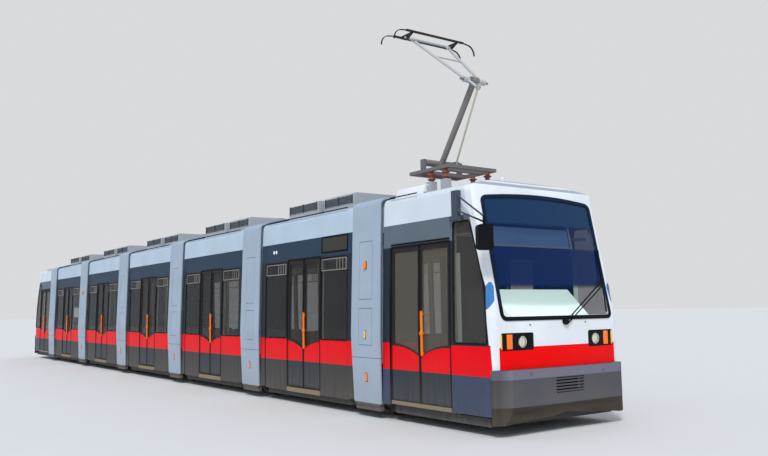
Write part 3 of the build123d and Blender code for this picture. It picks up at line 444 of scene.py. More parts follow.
# %% Colours, as they look in daylight
COLOURS = {
    "skirt": srgb(62, 62, 64), "front skirt": srgb(66, 76, 101), "red": srgb(240, 2, 22),
    "surround": srgb(44, 50, 57), "slate": srgb(47, 65, 83), "front slate": srgb(99, 111, 122),
    "light": srgb(187, 204, 220), "front light": srgb(215, 225, 233), "roof": srgb(172, 178, 184),
    "cream": srgb(205, 203, 190), "black": srgb(22, 23, 25), "portal": srgb(166, 181, 197),
    "line": srgb(104, 116, 130), "lining": srgb(70, 72, 76), "plinth": srgb(88, 84, 82),
    "white": srgb(236, 240, 245), "frame": srgb(46, 42, 44), "door skirt": srgb(48, 58, 68),
    # the bumper's lit top is a painted highlight, and its shaded foot is painted shade
    "bumper": srgb(84, 84, 92), "bumper lit top": srgb(118, 118, 134), "bumper shaded foot": srgb(34, 30, 29),
    "beige": srgb(142, 128, 106), "orange": srgb(255, 128, 26), "floor": srgb(62, 65, 70),
    "seat": srgb(64, 82, 120), "pole": srgb(196, 206, 70), "post": srgb(206, 222, 208),
    "wall": srgb(14, 38, 70), "pane": srgb(70, 130, 190), "sign": srgb(56, 58, 50),
}
LEAN_FROM, LEAN = 1.1, 0.0235                 # above this height the walls lean in by this much
MIDDLE_TURNS, PORTAL_TURNS = 8.5, 9.0         # puts modules' middles, or portals, half way through a turn
END_SEAM = 0.004                              # the lining stops this far into the tapered end


def bands(tree, place, levels, first):
    """Colour by height: first below the first level, then each level's colour above it."""
    z = axes(tree, place)[2]
    colour = first
    for level, above in levels:
        colour = mixed(tree, over(tree, z, level), colour, above)
    return colour


def from_row(tree, place, turns):
    """Distance along the tram from the nearest of a row of places that stand a pitch apart."""
    y = axes(tree, place)[1]
    share = maths(tree, "FRACT", plus(tree, maths(tree, "DIVIDE", y, PITCH), turns))
    return times(tree, unsigned(tree, minus(tree, share, 0.5)), PITCH)


def from_module_middle(tree, place):
    """Distance along the tram from the middle of the nearest module."""
    return from_row(tree, place, MIDDLE_TURNS)


def inside_mask(tree, place, margin):
    """1 where a point lies deeper than margin behind the outer wall face, below the roof."""
    x, _, z = axes(tree, place)
    lean = times(tree, maths(tree, "MAXIMUM", minus(tree, z, LEAN_FROM), 0.0), LEAN)
    depth = minus(tree, minus(tree, WALL_LEVELS[0][1], lean), unsigned(tree, x))
    return times(tree, over(tree, depth, margin), under(tree, z, ROOF_SEAM))


def end_mask(tree, place):
    """1 on the tapered ends of the modules, beside the portals."""
    return over(tree, from_module_middle(tree, place), HALF_MODULE - TAPER + END_SEAM)


print(len(COLOURS), "colours named")

# %% [markdown]
# ## The corners of the nose
# Ahead of the cab window a strip of the side wall is white, like the mask that it joins, and its
# edge leans back as the window's does. A small blue pane wraps each corner. It is painted on the
# mask and on the wall alike, so the same function draws it on both.

# %% Masks for the white strip and the blue pane
NOSE_FROM, NOSE_FOOT = PORTALS[-1] + 2.505, 1.070
NOSE_LEANS = ((1.085, 0.067), (1.760, 0.230))     # from each height on, the edge leans back by this more
PANE_IN, PANE_WIDTH, PANE_LEAN = 1.050, 0.100, 0.15
PANE_FOOT, PANE_SLANT, PANE_TOP, PANE_ROUND = 1.60, 0.15, 1.82, 0.24


def nose_mask(tree, place):
    """1 on the strip of wall ahead of the cab window."""
    _, y, z = axes(tree, place)
    edge = NOSE_FROM
    for start, slope in NOSE_LEANS:
        above = maths(tree, "MAXIMUM", minus(tree, z, start), 0.0)
        edge = minus(tree, edge, times(tree, above, slope))
    return times(tree, over(tree, unsigned(tree, y), edge), over(tree, z, NOSE_FOOT))


def corner_pane(tree, place):
    """1 on the small blue pane that wraps each corner: its foot slants and its head is round."""
    x, _, z = axes(tree, place)
    across = plus(tree, unsigned(tree, x), times(tree, minus(tree, z, PANE_FOOT), PANE_LEAN))
    share = maths(tree, "DIVIDE", minus(tree, across, PANE_IN), PANE_WIDTH)
    off = minus(tree, share, 0.5)
    foot = minus(tree, PANE_FOOT, times(tree, share, PANE_SLANT))
    head = minus(tree, PANE_TOP, times(tree, times(tree, off, off), PANE_ROUND))
    return times(tree, over(tree, share, 0.0), within(tree, z, foot, head))


print("the nose's corners can be masked")

# %% [markdown]
# ## Painting the modules
# The bands come first, then the cream lining inside. The tapered ends stay painted, because no
# lining shows there. The end modules also get the aerial's two colours and the white strip.

# %% Paint of the modules
AERIAL = ((3.2005, COLOURS["black"]), (3.224, COLOURS["white"]))     # the aerial's foot and its cap


def module_paint(front):
    """The band plan; front is "front " for the end modules, which differ in tone."""
    def colour(tree, place):
        outside = bands(tree, place, (
            (RED_LOW, COLOURS["red"]), (RED_HIGH, COLOURS["surround"]), (GLASS_TOP, COLOURS[front + "slate"]),
            (ROOF_SEAM, COLOURS[front + "light"]), (ROOF_FROM, COLOURS["roof"])), COLOURS[front + "skirt"])
        deep = inside_mask(tree, place, WALL_THICK / 2)
        inside = maths(tree, "SUBTRACT", deep, end_mask(tree, place), clamp=True)
        if not front:
            return mixed(tree, inside, outside, COLOURS["cream"])
        walls = mixed(tree, inside, bands(tree, place, AERIAL, outside), COLOURS["cream"])
        strip = mixed(tree, corner_pane(tree, place), COLOURS["white"], COLOURS["pane"])
        return mixed(tree, nose_mask(tree, place), walls, strip)
    return colour


middle_paint = weathered("module paint", module_paint(""), 0.36, dust=0.5, coat=0.02)
end_paint = weathered("end module paint", module_paint("front "), 0.34, dust=0.22, coat=0.02)
dress("module_{}_shell", MODULES, middle_paint)
dress("module_{}_shell", END_MODULES, end_paint)
print("modules painted in bands at", RED_LOW, RED_HIGH, GLASS_TOP, ROOF_SEAM)

# %% [markdown]
# ## Door leaves
# A plug door's leaf is a dark frame round a tall pane. The red belt crosses its lower panel and
# rises in a curve that follows the pane's lower edge, and a dark divider runs down between the
# two leaves. The curve is a parabola of the distance from the door's middle.

# %% Door paint
DOOR_CURVE = (0.883, 0.247, -0.112)     # height at the middle of the door, slope there, and bend
LEAF_WIDTH, DIVIDER_HALF, LEAF_EDGE = 0.50, 0.026, 0.034


def door_paint(label, from_middle):
    """Door paint, where from_middle gives the distance from the middle of the door."""
    def colour(tree, place):
        z = axes(tree, place)[2]
        away = from_middle(tree, place)
        share = maths(tree, "DIVIDE", away, LEAF_WIDTH, clamp=True)
        base, slope, bend = DOOR_CURVE
        curve = plus(tree, times(tree, share, plus(tree, times(tree, share, bend), slope)), base)
        outside = mixed(tree, over(tree, z, RED_LOW), COLOURS["door skirt"], COLOURS["red"])
        outside = mixed(tree, over(tree, z, curve), outside, COLOURS["frame"])
        outside = mixed(tree, under(tree, away, DIVIDER_HALF), outside, COLOURS["frame"])
        return mixed(tree, inside_mask(tree, place, LEAF_EDGE), outside, COLOURS["frame"])
    return weathered(f"door paint, {label}", colour, 0.36, dust=0.45, coat=0.02)


def from_end_door(tree, place):
    """Distance along the tram from the middle of an end module's door."""
    y = axes(tree, place)[1]
    return unsigned(tree, minus(tree, unsigned(tree, y), PORTALS[-1] + END_DOOR))


dress("module_{}_doors", MODULES, door_paint("middle", from_module_middle))
dress("module_{}_doors", END_MODULES, door_paint("ends", from_end_door))
print("door leaves painted")

# %% [markdown]
# ## Floors, seats and poles
# Each module's floor node holds the floor, its seats, grab poles, the step at the door and, at the
# ends, the wall behind the driver. Their finishes differ, but they stand apart in space, so the
# colour is picked by place: grey vinyl low down, yellow-green poles, blue seats, a dark wall and a
# beige edge on the step.

# %% Floor finish by place
FLOOR_TOP, POLE_X, POLE_HALF = 0.24, 0.48, 0.03
STEP_X, SLAB_X, STEP_LEVELS = 0.995, 1.0885, (0.217, 0.292)
WALL_BEHIND_DRIVER = PORTALS[-1] + 1.85


def floor_colour(tree, place):
    """Picks the finish of floor, seats, poles, wall and step by place."""
    x, y, z = axes(tree, place)
    across = unsigned(tree, x)
    high = over(tree, z, FLOOR_TOP)
    pole = under(tree, unsigned(tree, minus(tree, across, POLE_X)), POLE_HALF)
    wall = over(tree, unsigned(tree, y), WALL_BEHIND_DRIVER)
    tread = times(tree, over(tree, across, STEP_X), within(tree, z, *STEP_LEVELS))
    step = maths(tree, "MAXIMUM", tread, over(tree, across, SLAB_X))
    colour = mixed(tree, high, COLOURS["floor"], COLOURS["seat"])
    colour = mixed(tree, times(tree, high, pole), colour, COLOURS["pole"])
    colour = mixed(tree, times(tree, wall, high), colour, COLOURS["wall"])
    return mixed(tree, step, colour, COLOURS["beige"])


floor_finish = weathered("floor, seats and poles", floor_colour, 0.55, dust=0.4, peel=220, bump=0.1)
dress("module_{}_floor", MODULES, floor_finish)
print("floors finished")

# %% [markdown]
# ## Glass
# A side pane is tinted, so the dark inside shows through it and the surroundings are mirrored
# faintly. Alpha keeps the pane partly see-through for light and shadow as well. The windscreen is
# clear in front of the desk and deep blue above it, lets more through where the sun visor hangs,
# and is most solid in the band at its top.

# %% Tinted panes and the windscreen
GLASS_MIRROR = 0.2
SCREEN_LEVELS = ((1.74, 0.10), (1.80, 0.84), (2.24, 0.84), (2.27, 0.50), (2.53, 0.50), (2.57, 0.86))


def glass(name, colour, alpha):
    """Slightly rippled glass. colour and alpha are values, or functions of tree and place."""
    material, tree, shader, place = finish(name)
    ripple = noise(tree, place, scale=0.9, detail=1.0)
    fill(tree, shader, {
        "Base Color": at_place(colour, tree, place), "Alpha": at_place(alpha, tree, place),
        "Roughness": ranged(tree, ripple, 0.0, 1.0, low=0.02, high=0.07),
        "Normal": bumped(tree, ripple, strength=0.03, distance=0.01),
        "IOR": 1.5, "Specular IOR Level": GLASS_MIRROR})
    return material


def screen_colour(tree, place):
    """Deep blue, and a little paler at the top."""
    (start, _), (end, _) = SCREEN_LEVELS[-2:]
    fade = ranged(tree, axes(tree, place)[2], start, end)
    return mixed(tree, fade, srgb(0, 36, 86), srgb(24, 58, 96))


def screen_alpha(tree, place):
    """SCREEN_LEVELS are heights and alphas: it starts at the first, and each pair is one change."""
    z = axes(tree, place)[2]
    alpha = SCREEN_LEVELS[0][1]
    for (start, low), (end, high) in zip(SCREEN_LEVELS[::2], SCREEN_LEVELS[1::2]):
        alpha = plus(tree, ranged(tree, z, start, end, 0.0, high - low), alpha)
    return alpha


dress("module_{}_glass", MODULES, glass("tinted side glass", srgb(62, 60, 58), 0.40))
print("panes are glass")

# %% [markdown]
# ## The end modules' glass
# One node holds the side panes, the windscreen and the panes of the wall behind the driver. Each
# is picked by place: the windscreen lies ahead of the side panes, and the wall's panes lie well
# inside them. The side panes' brown is a painted reflection of the street, so they look brown
# rather than dark.

# %% All panes of an end module in one finish
SCREEN_START, CAB_PANE = PORTALS[-1] + 2.10, PORTALS[-1] + 1.86
SCREEN_HALF, INNER_HALF = 1.0, 0.94
SIDE_ALPHA, INNER_ALPHA = 0.46, 0.95


def end_masks(tree, place):
    """1 on the windscreen, and 1 on the panes behind the driver."""
    x, y, _ = axes(tree, place)
    across = unsigned(tree, x)
    ahead = over(tree, unsigned(tree, y), SCREEN_START)
    screen = times(tree, ahead, under(tree, across, SCREEN_HALF))
    inner = times(tree, minus(tree, 1.0, ahead), under(tree, across, INNER_HALF))
    return screen, inner


def end_glass_colour(tree, place):
    """Side panes in brown, a painted reflection of the street, greyer ones beside the cab, the windscreen's
    blue and the dark wall's panes.
    """
    screen, inner = end_masks(tree, place)
    cab = over(tree, unsigned(tree, axes(tree, place)[1]), CAB_PANE)
    # painted reflection: the side panes' brown stands in for the street mirrored in them
    side = mixed(tree, cab, srgb(112, 104, 95), srgb(80, 76, 70))
    colour = mixed(tree, screen, side, screen_colour(tree, place))
    return mixed(tree, inner, colour, COLOURS["wall"])


def end_glass_alpha(tree, place):
    """How solid each pane of an end module looks."""
    screen, inner = end_masks(tree, place)
    alpha = node(tree, "ShaderNodeMix", {0: screen, 2: SIDE_ALPHA, 3: screen_alpha(tree, place)}).outputs[0]
    return node(tree, "ShaderNodeMix", {0: inner, 2: alpha, 3: INNER_ALPHA}).outputs[0]


dress("module_{}_glass", END_MODULES, glass("end module glass", end_glass_colour, end_glass_alpha))
print("the end modules are glazed")

# %% [markdown]
# ## Nose, bumper and lamps
# The mask round the windscreen is white plastic with the red belt across its face only: the
# corner pillars stay white down to the bumper, and the brow over the windscreen is grey. The
# bumper is rough moulded plastic; its top is paler with a painted highlight, and its foot and
# sides are darker with painted shade.

# %% Mask, bumper and lamp housings
MASK_RED_HIGH, PILLAR_X, BROW_Z = 1.04, 1.035, 3.045
# painted light: the bumper's top is paler as a painted highlight, and its foot darker as painted shade
BUMPER_BANDS = ((0.352, COLOURS["bumper"]), (0.67, COLOURS["bumper lit top"]))
BUMPER_TURN, SIDE_SHADE = (0.98, 1.08), 0.45


def mask_colour(tree, place):
    """White, with the red belt, the grey brow and the corners' blue panes."""
    x, _, z = axes(tree, place)
    belt = times(tree, under(tree, unsigned(tree, x), PILLAR_X), under(tree, z, MASK_RED_HIGH))
    colour = mixed(tree, belt, COLOURS["white"], srgb(255, 0, 0))
    colour = mixed(tree, over(tree, z, BROW_Z), colour, srgb(164, 174, 184))
    return mixed(tree, corner_pane(tree, place), colour, COLOURS["pane"])


def bumper_colour(tree, place):
    """Three tones by height: a painted highlight on the top and painted shade at the foot, and more painted
    shade where the bumper turns round the corners.
    """
    colour = bands(tree, place, BUMPER_BANDS, COLOURS["bumper shaded foot"])
    # painted shade where the bumper turns round the corners
    side = ranged(tree, unsigned(tree, axes(tree, place)[0]), *BUMPER_TURN)
    return mixed(tree, times(tree, side, SIDE_SHADE), colour, COLOURS["bumper shaded foot"])


both = [end for end, _, _ in ENDS]
dress("{}_mask", both, weathered("nose mask paint", mask_colour, 0.30, dust=0.06, coat=0.03))
dress("{}_bumper", both, weathered("bumper plastic", bumper_colour, 0.52, dust=0.45, peel=380, bump=0.25))
dress("{}_lamps", both, weathered("lamp housing", COLOURS["black"], 0.35, dust=0.1))
print("nose and tail finished")

# %% [markdown]
# ## Portals
# A portal is a pale hoop. A seam crosses each outer cover and two hatches are outlined above it,
# and their grooves get a darker line. The plinth at its foot is bare grey metal, and its passage
# is lined in dark grey.

# %% Portal paint with panel lines
HATCH_HALF, GROOVE = 0.170, 0.008
HATCHES = ((1.010, 1.535), (1.660, 2.495))
COVER_SEAM, COVER_FOOT, LINING_X, LINING_TOP = 0.830, 0.205, 1.075, 2.6


def portal_colour(tree, place):
    """A pale cover with darker lines, a dark lining and a grey plinth."""
    x, _, z = axes(tree, place)
    along = from_row(tree, place, PORTAL_TURNS)
    lines = within(tree, z, COVER_SEAM, COVER_SEAM + GROOVE)
    for low, high in HATCHES:
        outer = times(tree, within(tree, z, low, high), under(tree, along, HATCH_HALF))
        inside = within(tree, z, low + GROOVE, high - GROOVE)
        inner = times(tree, inside, under(tree, along, HATCH_HALF - GROOVE))
        lines = plus(tree, lines, minus(tree, outer, inner))
    lining = times(tree, under(tree, unsigned(tree, x), LINING_X), under(tree, z, LINING_TOP))
    colour = mixed(tree, lines, COLOURS["portal"], COLOURS["line"])
    colour = mixed(tree, lining, colour, COLOURS["lining"])
    return mixed(tree, under(tree, z, COVER_FOOT), colour, COLOURS["plinth"])


dress("portal_{}", range(1, 7), weathered("portal paint", portal_colour, 0.36, dust=0.35, coat=0.05))
print("portals painted")

# %% [markdown]
# ## Wheels and small metal
# The wheels are rolled steel that has gone brown in patches. The collector is painted steel, its
# head is dark carbon and copper, and its insulators are glazed brown. The desk glows a little:
# painted light that stands in for the sun falling on it behind the windscreen.

# %% Steel, trim and collector finishes
FRAME_LOW, FEET_TOP = 3.491, 3.339      # between them stand the collector's insulators
BRACKET_Z = 2.585


def wheel_colour(tree, place):
    """Two browns in patches."""
    patches = ranged(tree, noise(tree, place, scale=26.0, detail=4.0), 0.38, 0.62)
    return mixed(tree, patches, srgb(96, 88, 80), srgb(62, 54, 48))


def base_colour(tree, place):
    """The collector's base: pale feet, brown insulators and a grey frame."""
    z = axes(tree, place)[2]
    colour = mixed(tree, under(tree, z, FRAME_LOW), srgb(116, 118, 120), srgb(150, 98, 84))
    return mixed(tree, under(tree, z, FEET_TOP), colour, srgb(176, 182, 188))


def mirror_colour(tree, place):
    """The bracket high on the corner is grey, and the mirror's head is black."""
    return bands(tree, place, ((BRACKET_Z, srgb(74, 82, 94)),), COLOURS["black"])


trim = weathered("black trim", COLOURS["black"], 0.45, dust=0.25, peel=240, bump=0.08)
rubber = weathered("black rubber", srgb(26, 27, 29), 0.62, dust=0.35, peel=300, bump=0.12)
desk_plastic = weathered("mint desk plastic", srgb(232, 250, 242), 0.5, dust=0.0, peel=320, bump=0.1)
mirror_plastic = weathered("mirror plastic", mirror_colour, 0.45, dust=0.1, peel=240, bump=0.08)
wheel_steel = weathered("rolled steel", wheel_colour, 0.45, dust=0.6, metallic=0.85, peel=90, bump=0.1)
dress("wheel_{}_door_side", range(1, 7), wheel_steel)
dress("wheel_{}_far_side", range(1, 7), wheel_steel)
nodes["wiper"].data.materials[0] = trim
# painted light: the desk glows, standing in for the sun that falls on it behind the windscreen
nodes["cab_desk"].data.materials[0] = with_painted_sunlight(desk_plastic, srgb(214, 240, 232), 0.75)
nodes["mirror"].data.materials[0] = mirror_plastic
for part, name, colour, roughness, peel, bump, metallic in (
        ("base", "collector base metal", base_colour, 0.45, 140, 0.08, 0.0),
        ("lower_arm", "collector arm paint", srgb(134, 129, 126), 0.42, 120, 0.06, 0.0),
        ("upper_arm", "collector upper paint", srgb(186, 190, 192), 0.38, 120, 0.06, 0.0),
        ("rod", "collector rod paint", srgb(190, 184, 165), 0.42, 120, 0.06, 0.0),
        ("head", "carbon and copper", srgb(58, 55, 54), 0.5, 260, 0.1, 0.3)):
    nodes[f"pantograph_{part}"].data.materials[0] = weathered(
        name, colour, roughness, dust=0.0, peel=peel, bump=bump, metallic=metallic)
print("metal finished")

# %% [markdown]
# ## Frames on a curved surface
# A rubber seal is a flat rounded frame that is then laid on the body. It is drawn flat, as a
# plane whose corners are bevelled and whose middle is inset and deleted. Solidify gives it a
# thickness, and each of its points is then moved onto the wall or the raked front face.

# %% Flat frames and the surfaces that they are laid on
def flat_frame(low, high, width, depth, radius, cuts=0):
    """A rounded rectangular frame in the XY plane, standing depth high. Cuts let it follow a curve."""
    bpy.ops.object.select_all(action="DESELECT")
    centre = ((low[0] + high[0]) / 2, (low[1] + high[1]) / 2, 0)
    bpy.ops.mesh.primitive_plane_add(size=1, location=centre)
    bpy.context.object.scale = (high[0] - low[0], high[1] - low[1], 1)
    piece = started("frame")
    corners = [point.co.copy() for point in piece.data.vertices]
    bpy.ops.object.mode_set(mode="EDIT")
    bpy.ops.mesh.select_all(action="SELECT")
    if cuts:
        bpy.ops.mesh.subdivide(number_cuts=cuts)
    bpy.ops.mesh.select_all(action="DESELECT")
    bpy.ops.object.mode_set(mode="OBJECT")
    for point in piece.data.vertices:
        point.select = any((point.co - corner).length < 1e-6 for corner in corners)
    bpy.ops.object.mode_set(mode="EDIT")
    bpy.ops.mesh.bevel(offset=radius, segments=5, affect="VERTICES")
    bpy.ops.mesh.select_all(action="SELECT")
    bpy.ops.mesh.inset(thickness=width)
    bpy.ops.mesh.delete(type="FACE")
    bpy.ops.object.mode_set(mode="OBJECT")
    return thickened(piece, depth)


def laid(piece, surface):
    """Moves each point (u, w, height) of a flat piece onto a surface."""
    for point in piece.data.vertices:
        point.co = surface(*point.co)
    return piece


def on_wall(piece, side, extra=0.0):
    """Lays a flat piece on a side wall: u runs along the tram and w is the height."""
    laid(piece, lambda u, w, out: (side * (wall_x(w) + extra + out), u, w))
    if side < 0:
        piece.data.flip_normals()
    return piece


def on_face(u, w, out):
    """The raked front face of a nose whose portal stands at y = 0."""
    return (u, -(face_s(u, w) + out), w)


print("frames can be laid on walls and on the face")

# %% [markdown]
# ## Window seals and hoppers
# Each side window sits in a black rubber seal, and its top quarter is a hopper that tips in,
# with a slim grey frame and a few upright bars of its own. The middle modules are alike, so each
# of these is modelled once, about y = 0, and copied to the five places.

# %% Seals and hoppers of a middle module
WINDOW_LOW, WINDOW_TOP, SEAL_LAP = 1.060, 2.330, 0.008
HOPPER_LOW, HOPPER_IN, HOPPER_BACK = 2.125, 0.016, 0.010
BARS, BAR_START, BAR_STEP, BAR_HALF, BAR_BACK = 4, 0.05, 0.085, 0.007, 0.004
DOOR_WINDOWS = ((-1.3315, -0.5565), (0.5665, 1.3315))
FAR_WINDOWS = DOOR_WINDOWS + ((-0.4965, 0.5065),)
WINDOWS = [(DOOR_SIDE, *span) for span in DOOR_WINDOWS] + [(-DOOR_SIDE, *span) for span in FAR_WINDOWS]


def window_seal(side, start, end):
    """The rubber round a window, which laps over its edge."""
    seal = flat_frame((start - SEAL_LAP, WINDOW_LOW - SEAL_LAP), (end + SEAL_LAP, WINDOW_TOP + SEAL_LAP),
                      width=0.020, depth=0.004, radius=0.05, cuts=3)
    return on_wall(seal, side)


def hopper(side, start, end):
    """The slim frame of a hopper, and its bars."""
    border = flat_frame((start + HOPPER_IN, HOPPER_LOW), (end - HOPPER_IN, WINDOW_TOP - HOPPER_IN),
                        width=0.016, depth=0.010, radius=0.012)
    parts = [on_wall(border, side, -HOPPER_BACK)]
    for step in range(BARS):
        y = start + BAR_START + BAR_STEP * step
        bar = flat_frame((y - BAR_HALF, HOPPER_LOW + 0.02), (y + BAR_HALF, WINDOW_TOP - 0.03),
                         width=0.006, depth=0.006, radius=0.002)
        parts.append(on_wall(bar, side, -BAR_BACK))
    return parts


seals = joined("window_seals", [window_seal(*window) for window in WINDOWS])
hoppers = joined("hoppers", [part for window in WINDOWS for part in hopper(*window)])
print("seals:", len(seals.data.polygons), "faces; hoppers:", len(hoppers.data.polygons))

# %% [markdown]
# ## Door rubbers and handles
# Where two leaves meet, soft rubber edges close the gap. Beside it, on the leaf nearer the nose,
# stands the orange handle that everyone looks for.

# %% Door trim for a door whose middle is at y
DOOR_LOW, DOOR_TOP, LEAF_INSET, DOOR_HALF = 0.290, 2.360, 0.008, 0.5305
STRIP_HALF, DOOR_LAP = 0.016, 0.012
HANDLE_LOW, HANDLE_TOP, HANDLE_HALF, HANDLE_OFF = 0.905, 1.485, 0.022, 0.060


def door_rubber(middle, half):
    """Centre seal and the seal round the opening."""
    strip = flat_frame((middle - STRIP_HALF, DOOR_LOW + 0.004), (middle + STRIP_HALF, DOOR_TOP - 0.004),
                       width=0.013, depth=0.010, radius=0.006, cuts=3)
    start, end = middle - half - DOOR_LAP, middle + half + DOOR_LAP
    border = flat_frame((start, DOOR_LOW - 0.01), (end, DOOR_TOP + DOOR_LAP),
                        width=0.020, depth=0.005, radius=0.03, cuts=3)
    return [on_wall(strip, DOOR_SIDE, -LEAF_INSET - 0.002), on_wall(border, DOOR_SIDE)]


def handle(y):
    """A flat bar on three feet, with a boss round the lock at its middle."""
    leaf = wall_x(1.3) - LEAF_INSET
    x0, x1 = sorted(DOOR_SIDE * (leaf + out) for out in (0.020, 0.040))
    middle = (HANDLE_LOW + HANDLE_TOP) / 2
    parts = [block("bar", (x0, y - HANDLE_HALF, HANDLE_LOW), (x1, y + HANDLE_HALF, HANDLE_TOP),
                   bevel=0.008, segments=3)]
    for z in (HANDLE_LOW + 0.04, middle, HANDLE_TOP - 0.04):
        parts.append(disc("foot", (DOOR_SIDE * (leaf + 0.012), y, z), radius=0.012, depth=0.028, axis="x",
                          vertices=12, bevel=0.002))
    parts.append(disc("boss", (DOOR_SIDE * (leaf + 0.034), y, middle), radius=0.034, depth=0.022, axis="x",
                      vertices=20, bevel=0.004))
    return parts


rubbers = joined("door_rubbers", door_rubber(0.0, DOOR_HALF))
handles = joined("door_handle", handle(-HANDLE_OFF))
print("door trim modelled")

# %% [markdown]
# ## Roof: gutters, louvres and fans
# A black gutter runs along each roof edge. The two cases on a middle module hold the cooling
# plant, so their sides are louvred and their lids carry fan guards.

# %% Roof pieces of a middle module
GUTTER_Z = 3.060
CASES = ((-0.98, -0.06, 0.76, 3.365), (0.02, 1.04, 0.82, 3.345))      # start, end, half width and top
SLAT_LEVELS = [3.215 + 0.026 * step for step in range(5)]
SLAT_OUT, SLAT_SLOPE, SLAT_EDGE, POST_OVER, POST_WIDE = 0.016, 0.5, 0.06, 0.02, 0.016
FAN_PLACES, FAN_RADIUS, RING_SHARES, SPOKES = (0.28, 0.72), 0.17, (1.0, 0.72, 0.44, 0.18), 6


def gutter(side, start, end):
    """A slim rail along a roof edge."""
    x = side * (wall_x(GUTTER_Z) + 0.001)
    return block("gutter", (x - 0.007, start, GUTTER_Z - 0.008), (x + 0.007, end, GUTTER_Z + 0.008), 0.004)


def louvres(start, end, half, side):
    """Sloping slats in a frame on one side of a roof case."""
    x0, x1 = sorted((side * half, side * (half + SLAT_OUT)))
    parts = []
    for z in SLAT_LEVELS:
        slat = block("slat", (x0, start + SLAT_EDGE, z), (x1, end - SLAT_EDGE, z + 0.010), 0.002, 1)
        for point in slat.data.vertices:
            point.co.z -= abs(point.co.x - side * half) * SLAT_SLOPE
        parts.append(slat)
    low, high = SLAT_LEVELS[0] - POST_OVER, SLAT_LEVELS[-1] + POST_OVER
    for y in (start + 0.045, (start + end - POST_WIDE) / 2, end - 0.045 - POST_WIDE):
        parts.append(block("post", (x0, y, low), (x1, y + POST_WIDE, high), 0.003, 1))
    return parts


def fan_guard(y, top):
    """Rings and spokes over a fan opening."""
    parts = []
    for share in RING_SHARES:
        bpy.ops.object.select_all(action="DESELECT")
        bpy.ops.mesh.primitive_torus_add(location=(0, y, top + 0.012), major_radius=FAN_RADIUS * share,
                                         minor_radius=0.006, major_segments=32, minor_segments=6)
        parts.append(started("ring"))
    for step in range(SPOKES):
        angle = math.pi * step / SPOKES
        x, along = FAN_RADIUS * math.cos(angle), FAN_RADIUS * math.sin(angle)
        line = [(x, y + along, top + 0.014), (-x, y - along, top + 0.014)]
        parts.append(tube("spoke", line, 0.004, sides=4))
    return parts


gutters = joined("gutters", [gutter(side, -HALF_MODULE + TAPER, HALF_MODULE - TAPER) for side in (-1, 1)])
plant = []
for start, end, half, top in CASES:
    for side in (-1, 1):
        plant += louvres(start, end, half, side)
    for share in FAN_PLACES:
        plant += fan_guard(start + (end - start) * share, top)
plant = joined("roof_louvres", plant)
print("roof pieces:", len(plant.data.polygons), "faces")

# %% [markdown]
# ## Placing the middle modules' pieces
# Every template is copied with its own mesh to the five middle modules, and the template itself
# is then deleted.

# %% Finishes for trim, and the copies
hopper_metal = weathered("hopper frames", srgb(150, 144, 136), 0.4, dust=0.1, peel=200, metallic=0.4)
handle_paint = weathered("orange handle", COLOURS["orange"], 0.35, dust=0.0, peel=160)
grille_paint = weathered("louvre paint", srgb(70, 73, 77), 0.5, dust=0.1, peel=200)
TEMPLATES = (
    (seals, "window_seals", rubber, "black_trim"), (hoppers, "hoppers", hopper_metal, "door_frame"),
    (rubbers, "door_rubbers", rubber, "black_trim"), (handles, "door_handle", handle_paint, "black_trim"),
    (gutters, "gutters", rubber, "black_trim"), (plant, "roof_louvres", grille_paint, "black_trim"))
for number, middle in enumerate(MIDDLES, 2):
    for template, label, material, slot in TEMPLATES:
        twin = copied(template, f"module_{number}_{label}", middle)
        finish_piece(twin, f"module_{number}", material)
for template, *_ in TEMPLATES:
    bpy.data.objects.remove(template)
print("placed", len(TEMPLATES) * len(MIDDLES), "pieces on the middle modules")

# %% [markdown]
# ## Bellows
# A folded rubber bellows closes the gap between each module and its portal. It is one skin. It
# starts as a circle that is pulled out to a rounded box with legs beside the passage, inside the
# wheels. Its foot is opened, because the floor passes there, and it is extruded fold by fold.

# %% Bellows between each module and portal
BELLOWS_HALF, BELLOWS_LOW, BELLOWS_TOP, BELLOWS_CROWN = 1.035, 0.275, 3.060, 0.085
BELLOWS_LEG, WHEEL_TOP = 0.580, 0.75     # below the wheels' tops it runs inside the wheels
BELLOWS_THICK, SQUARENESS, FOOT_HALF = 0.004, 0.2, 0.1
PORTAL_FACE, FOLDS, FOLD_GROWTH = 0.300, 5, 1.022


def bellows(name, start, end):
    """A folded sleeve from y = start to y = end."""
    bpy.ops.object.select_all(action="DESELECT")
    bpy.ops.mesh.primitive_circle_add(vertices=72, radius=1, rotation=(math.pi / 2, 0, 0))
    piece = started(name)
    middle, half = (BELLOWS_LOW + BELLOWS_TOP) / 2, (BELLOWS_TOP - BELLOWS_LOW) / 2
    for point in piece.data.vertices:
        x, _, z = (math.copysign(abs(value) ** SQUARENESS, value) for value in point.co)
        crown = BELLOWS_CROWN * (1 - x * x) if z > 0.5 else 0.0
        x, z = x * BELLOWS_HALF, middle + z * half + crown
        if z < WHEEL_TOP:
            x = max(-BELLOWS_LEG, min(BELLOWS_LEG, x))
        point.co = (x, start, z)
        point.select = z < WHEEL_TOP and abs(x) < FOOT_HALF
    for edge in piece.data.edges:
        edge.select = False
    bpy.ops.object.mode_set(mode="EDIT")
    bpy.ops.mesh.delete(type="VERT")
    bpy.ops.mesh.select_all(action="SELECT")
    for fold in range(2 * FOLDS):
        grow = FOLD_GROWTH if fold % 2 == 0 else 1 / FOLD_GROWTH
        step = (0, (end - start) / (2 * FOLDS), 0)
        bpy.ops.mesh.extrude_region_move(TRANSFORM_OT_translate={"value": step})
        bpy.ops.transform.resize(value=(grow, 1, grow), center_override=(0, 0, middle))
    bpy.ops.mesh.select_all(action="SELECT")
    bpy.ops.mesh.normals_make_consistent(inside=False)
    bpy.ops.object.mode_set(mode="OBJECT")
    return thickened(piece, BELLOWS_THICK)


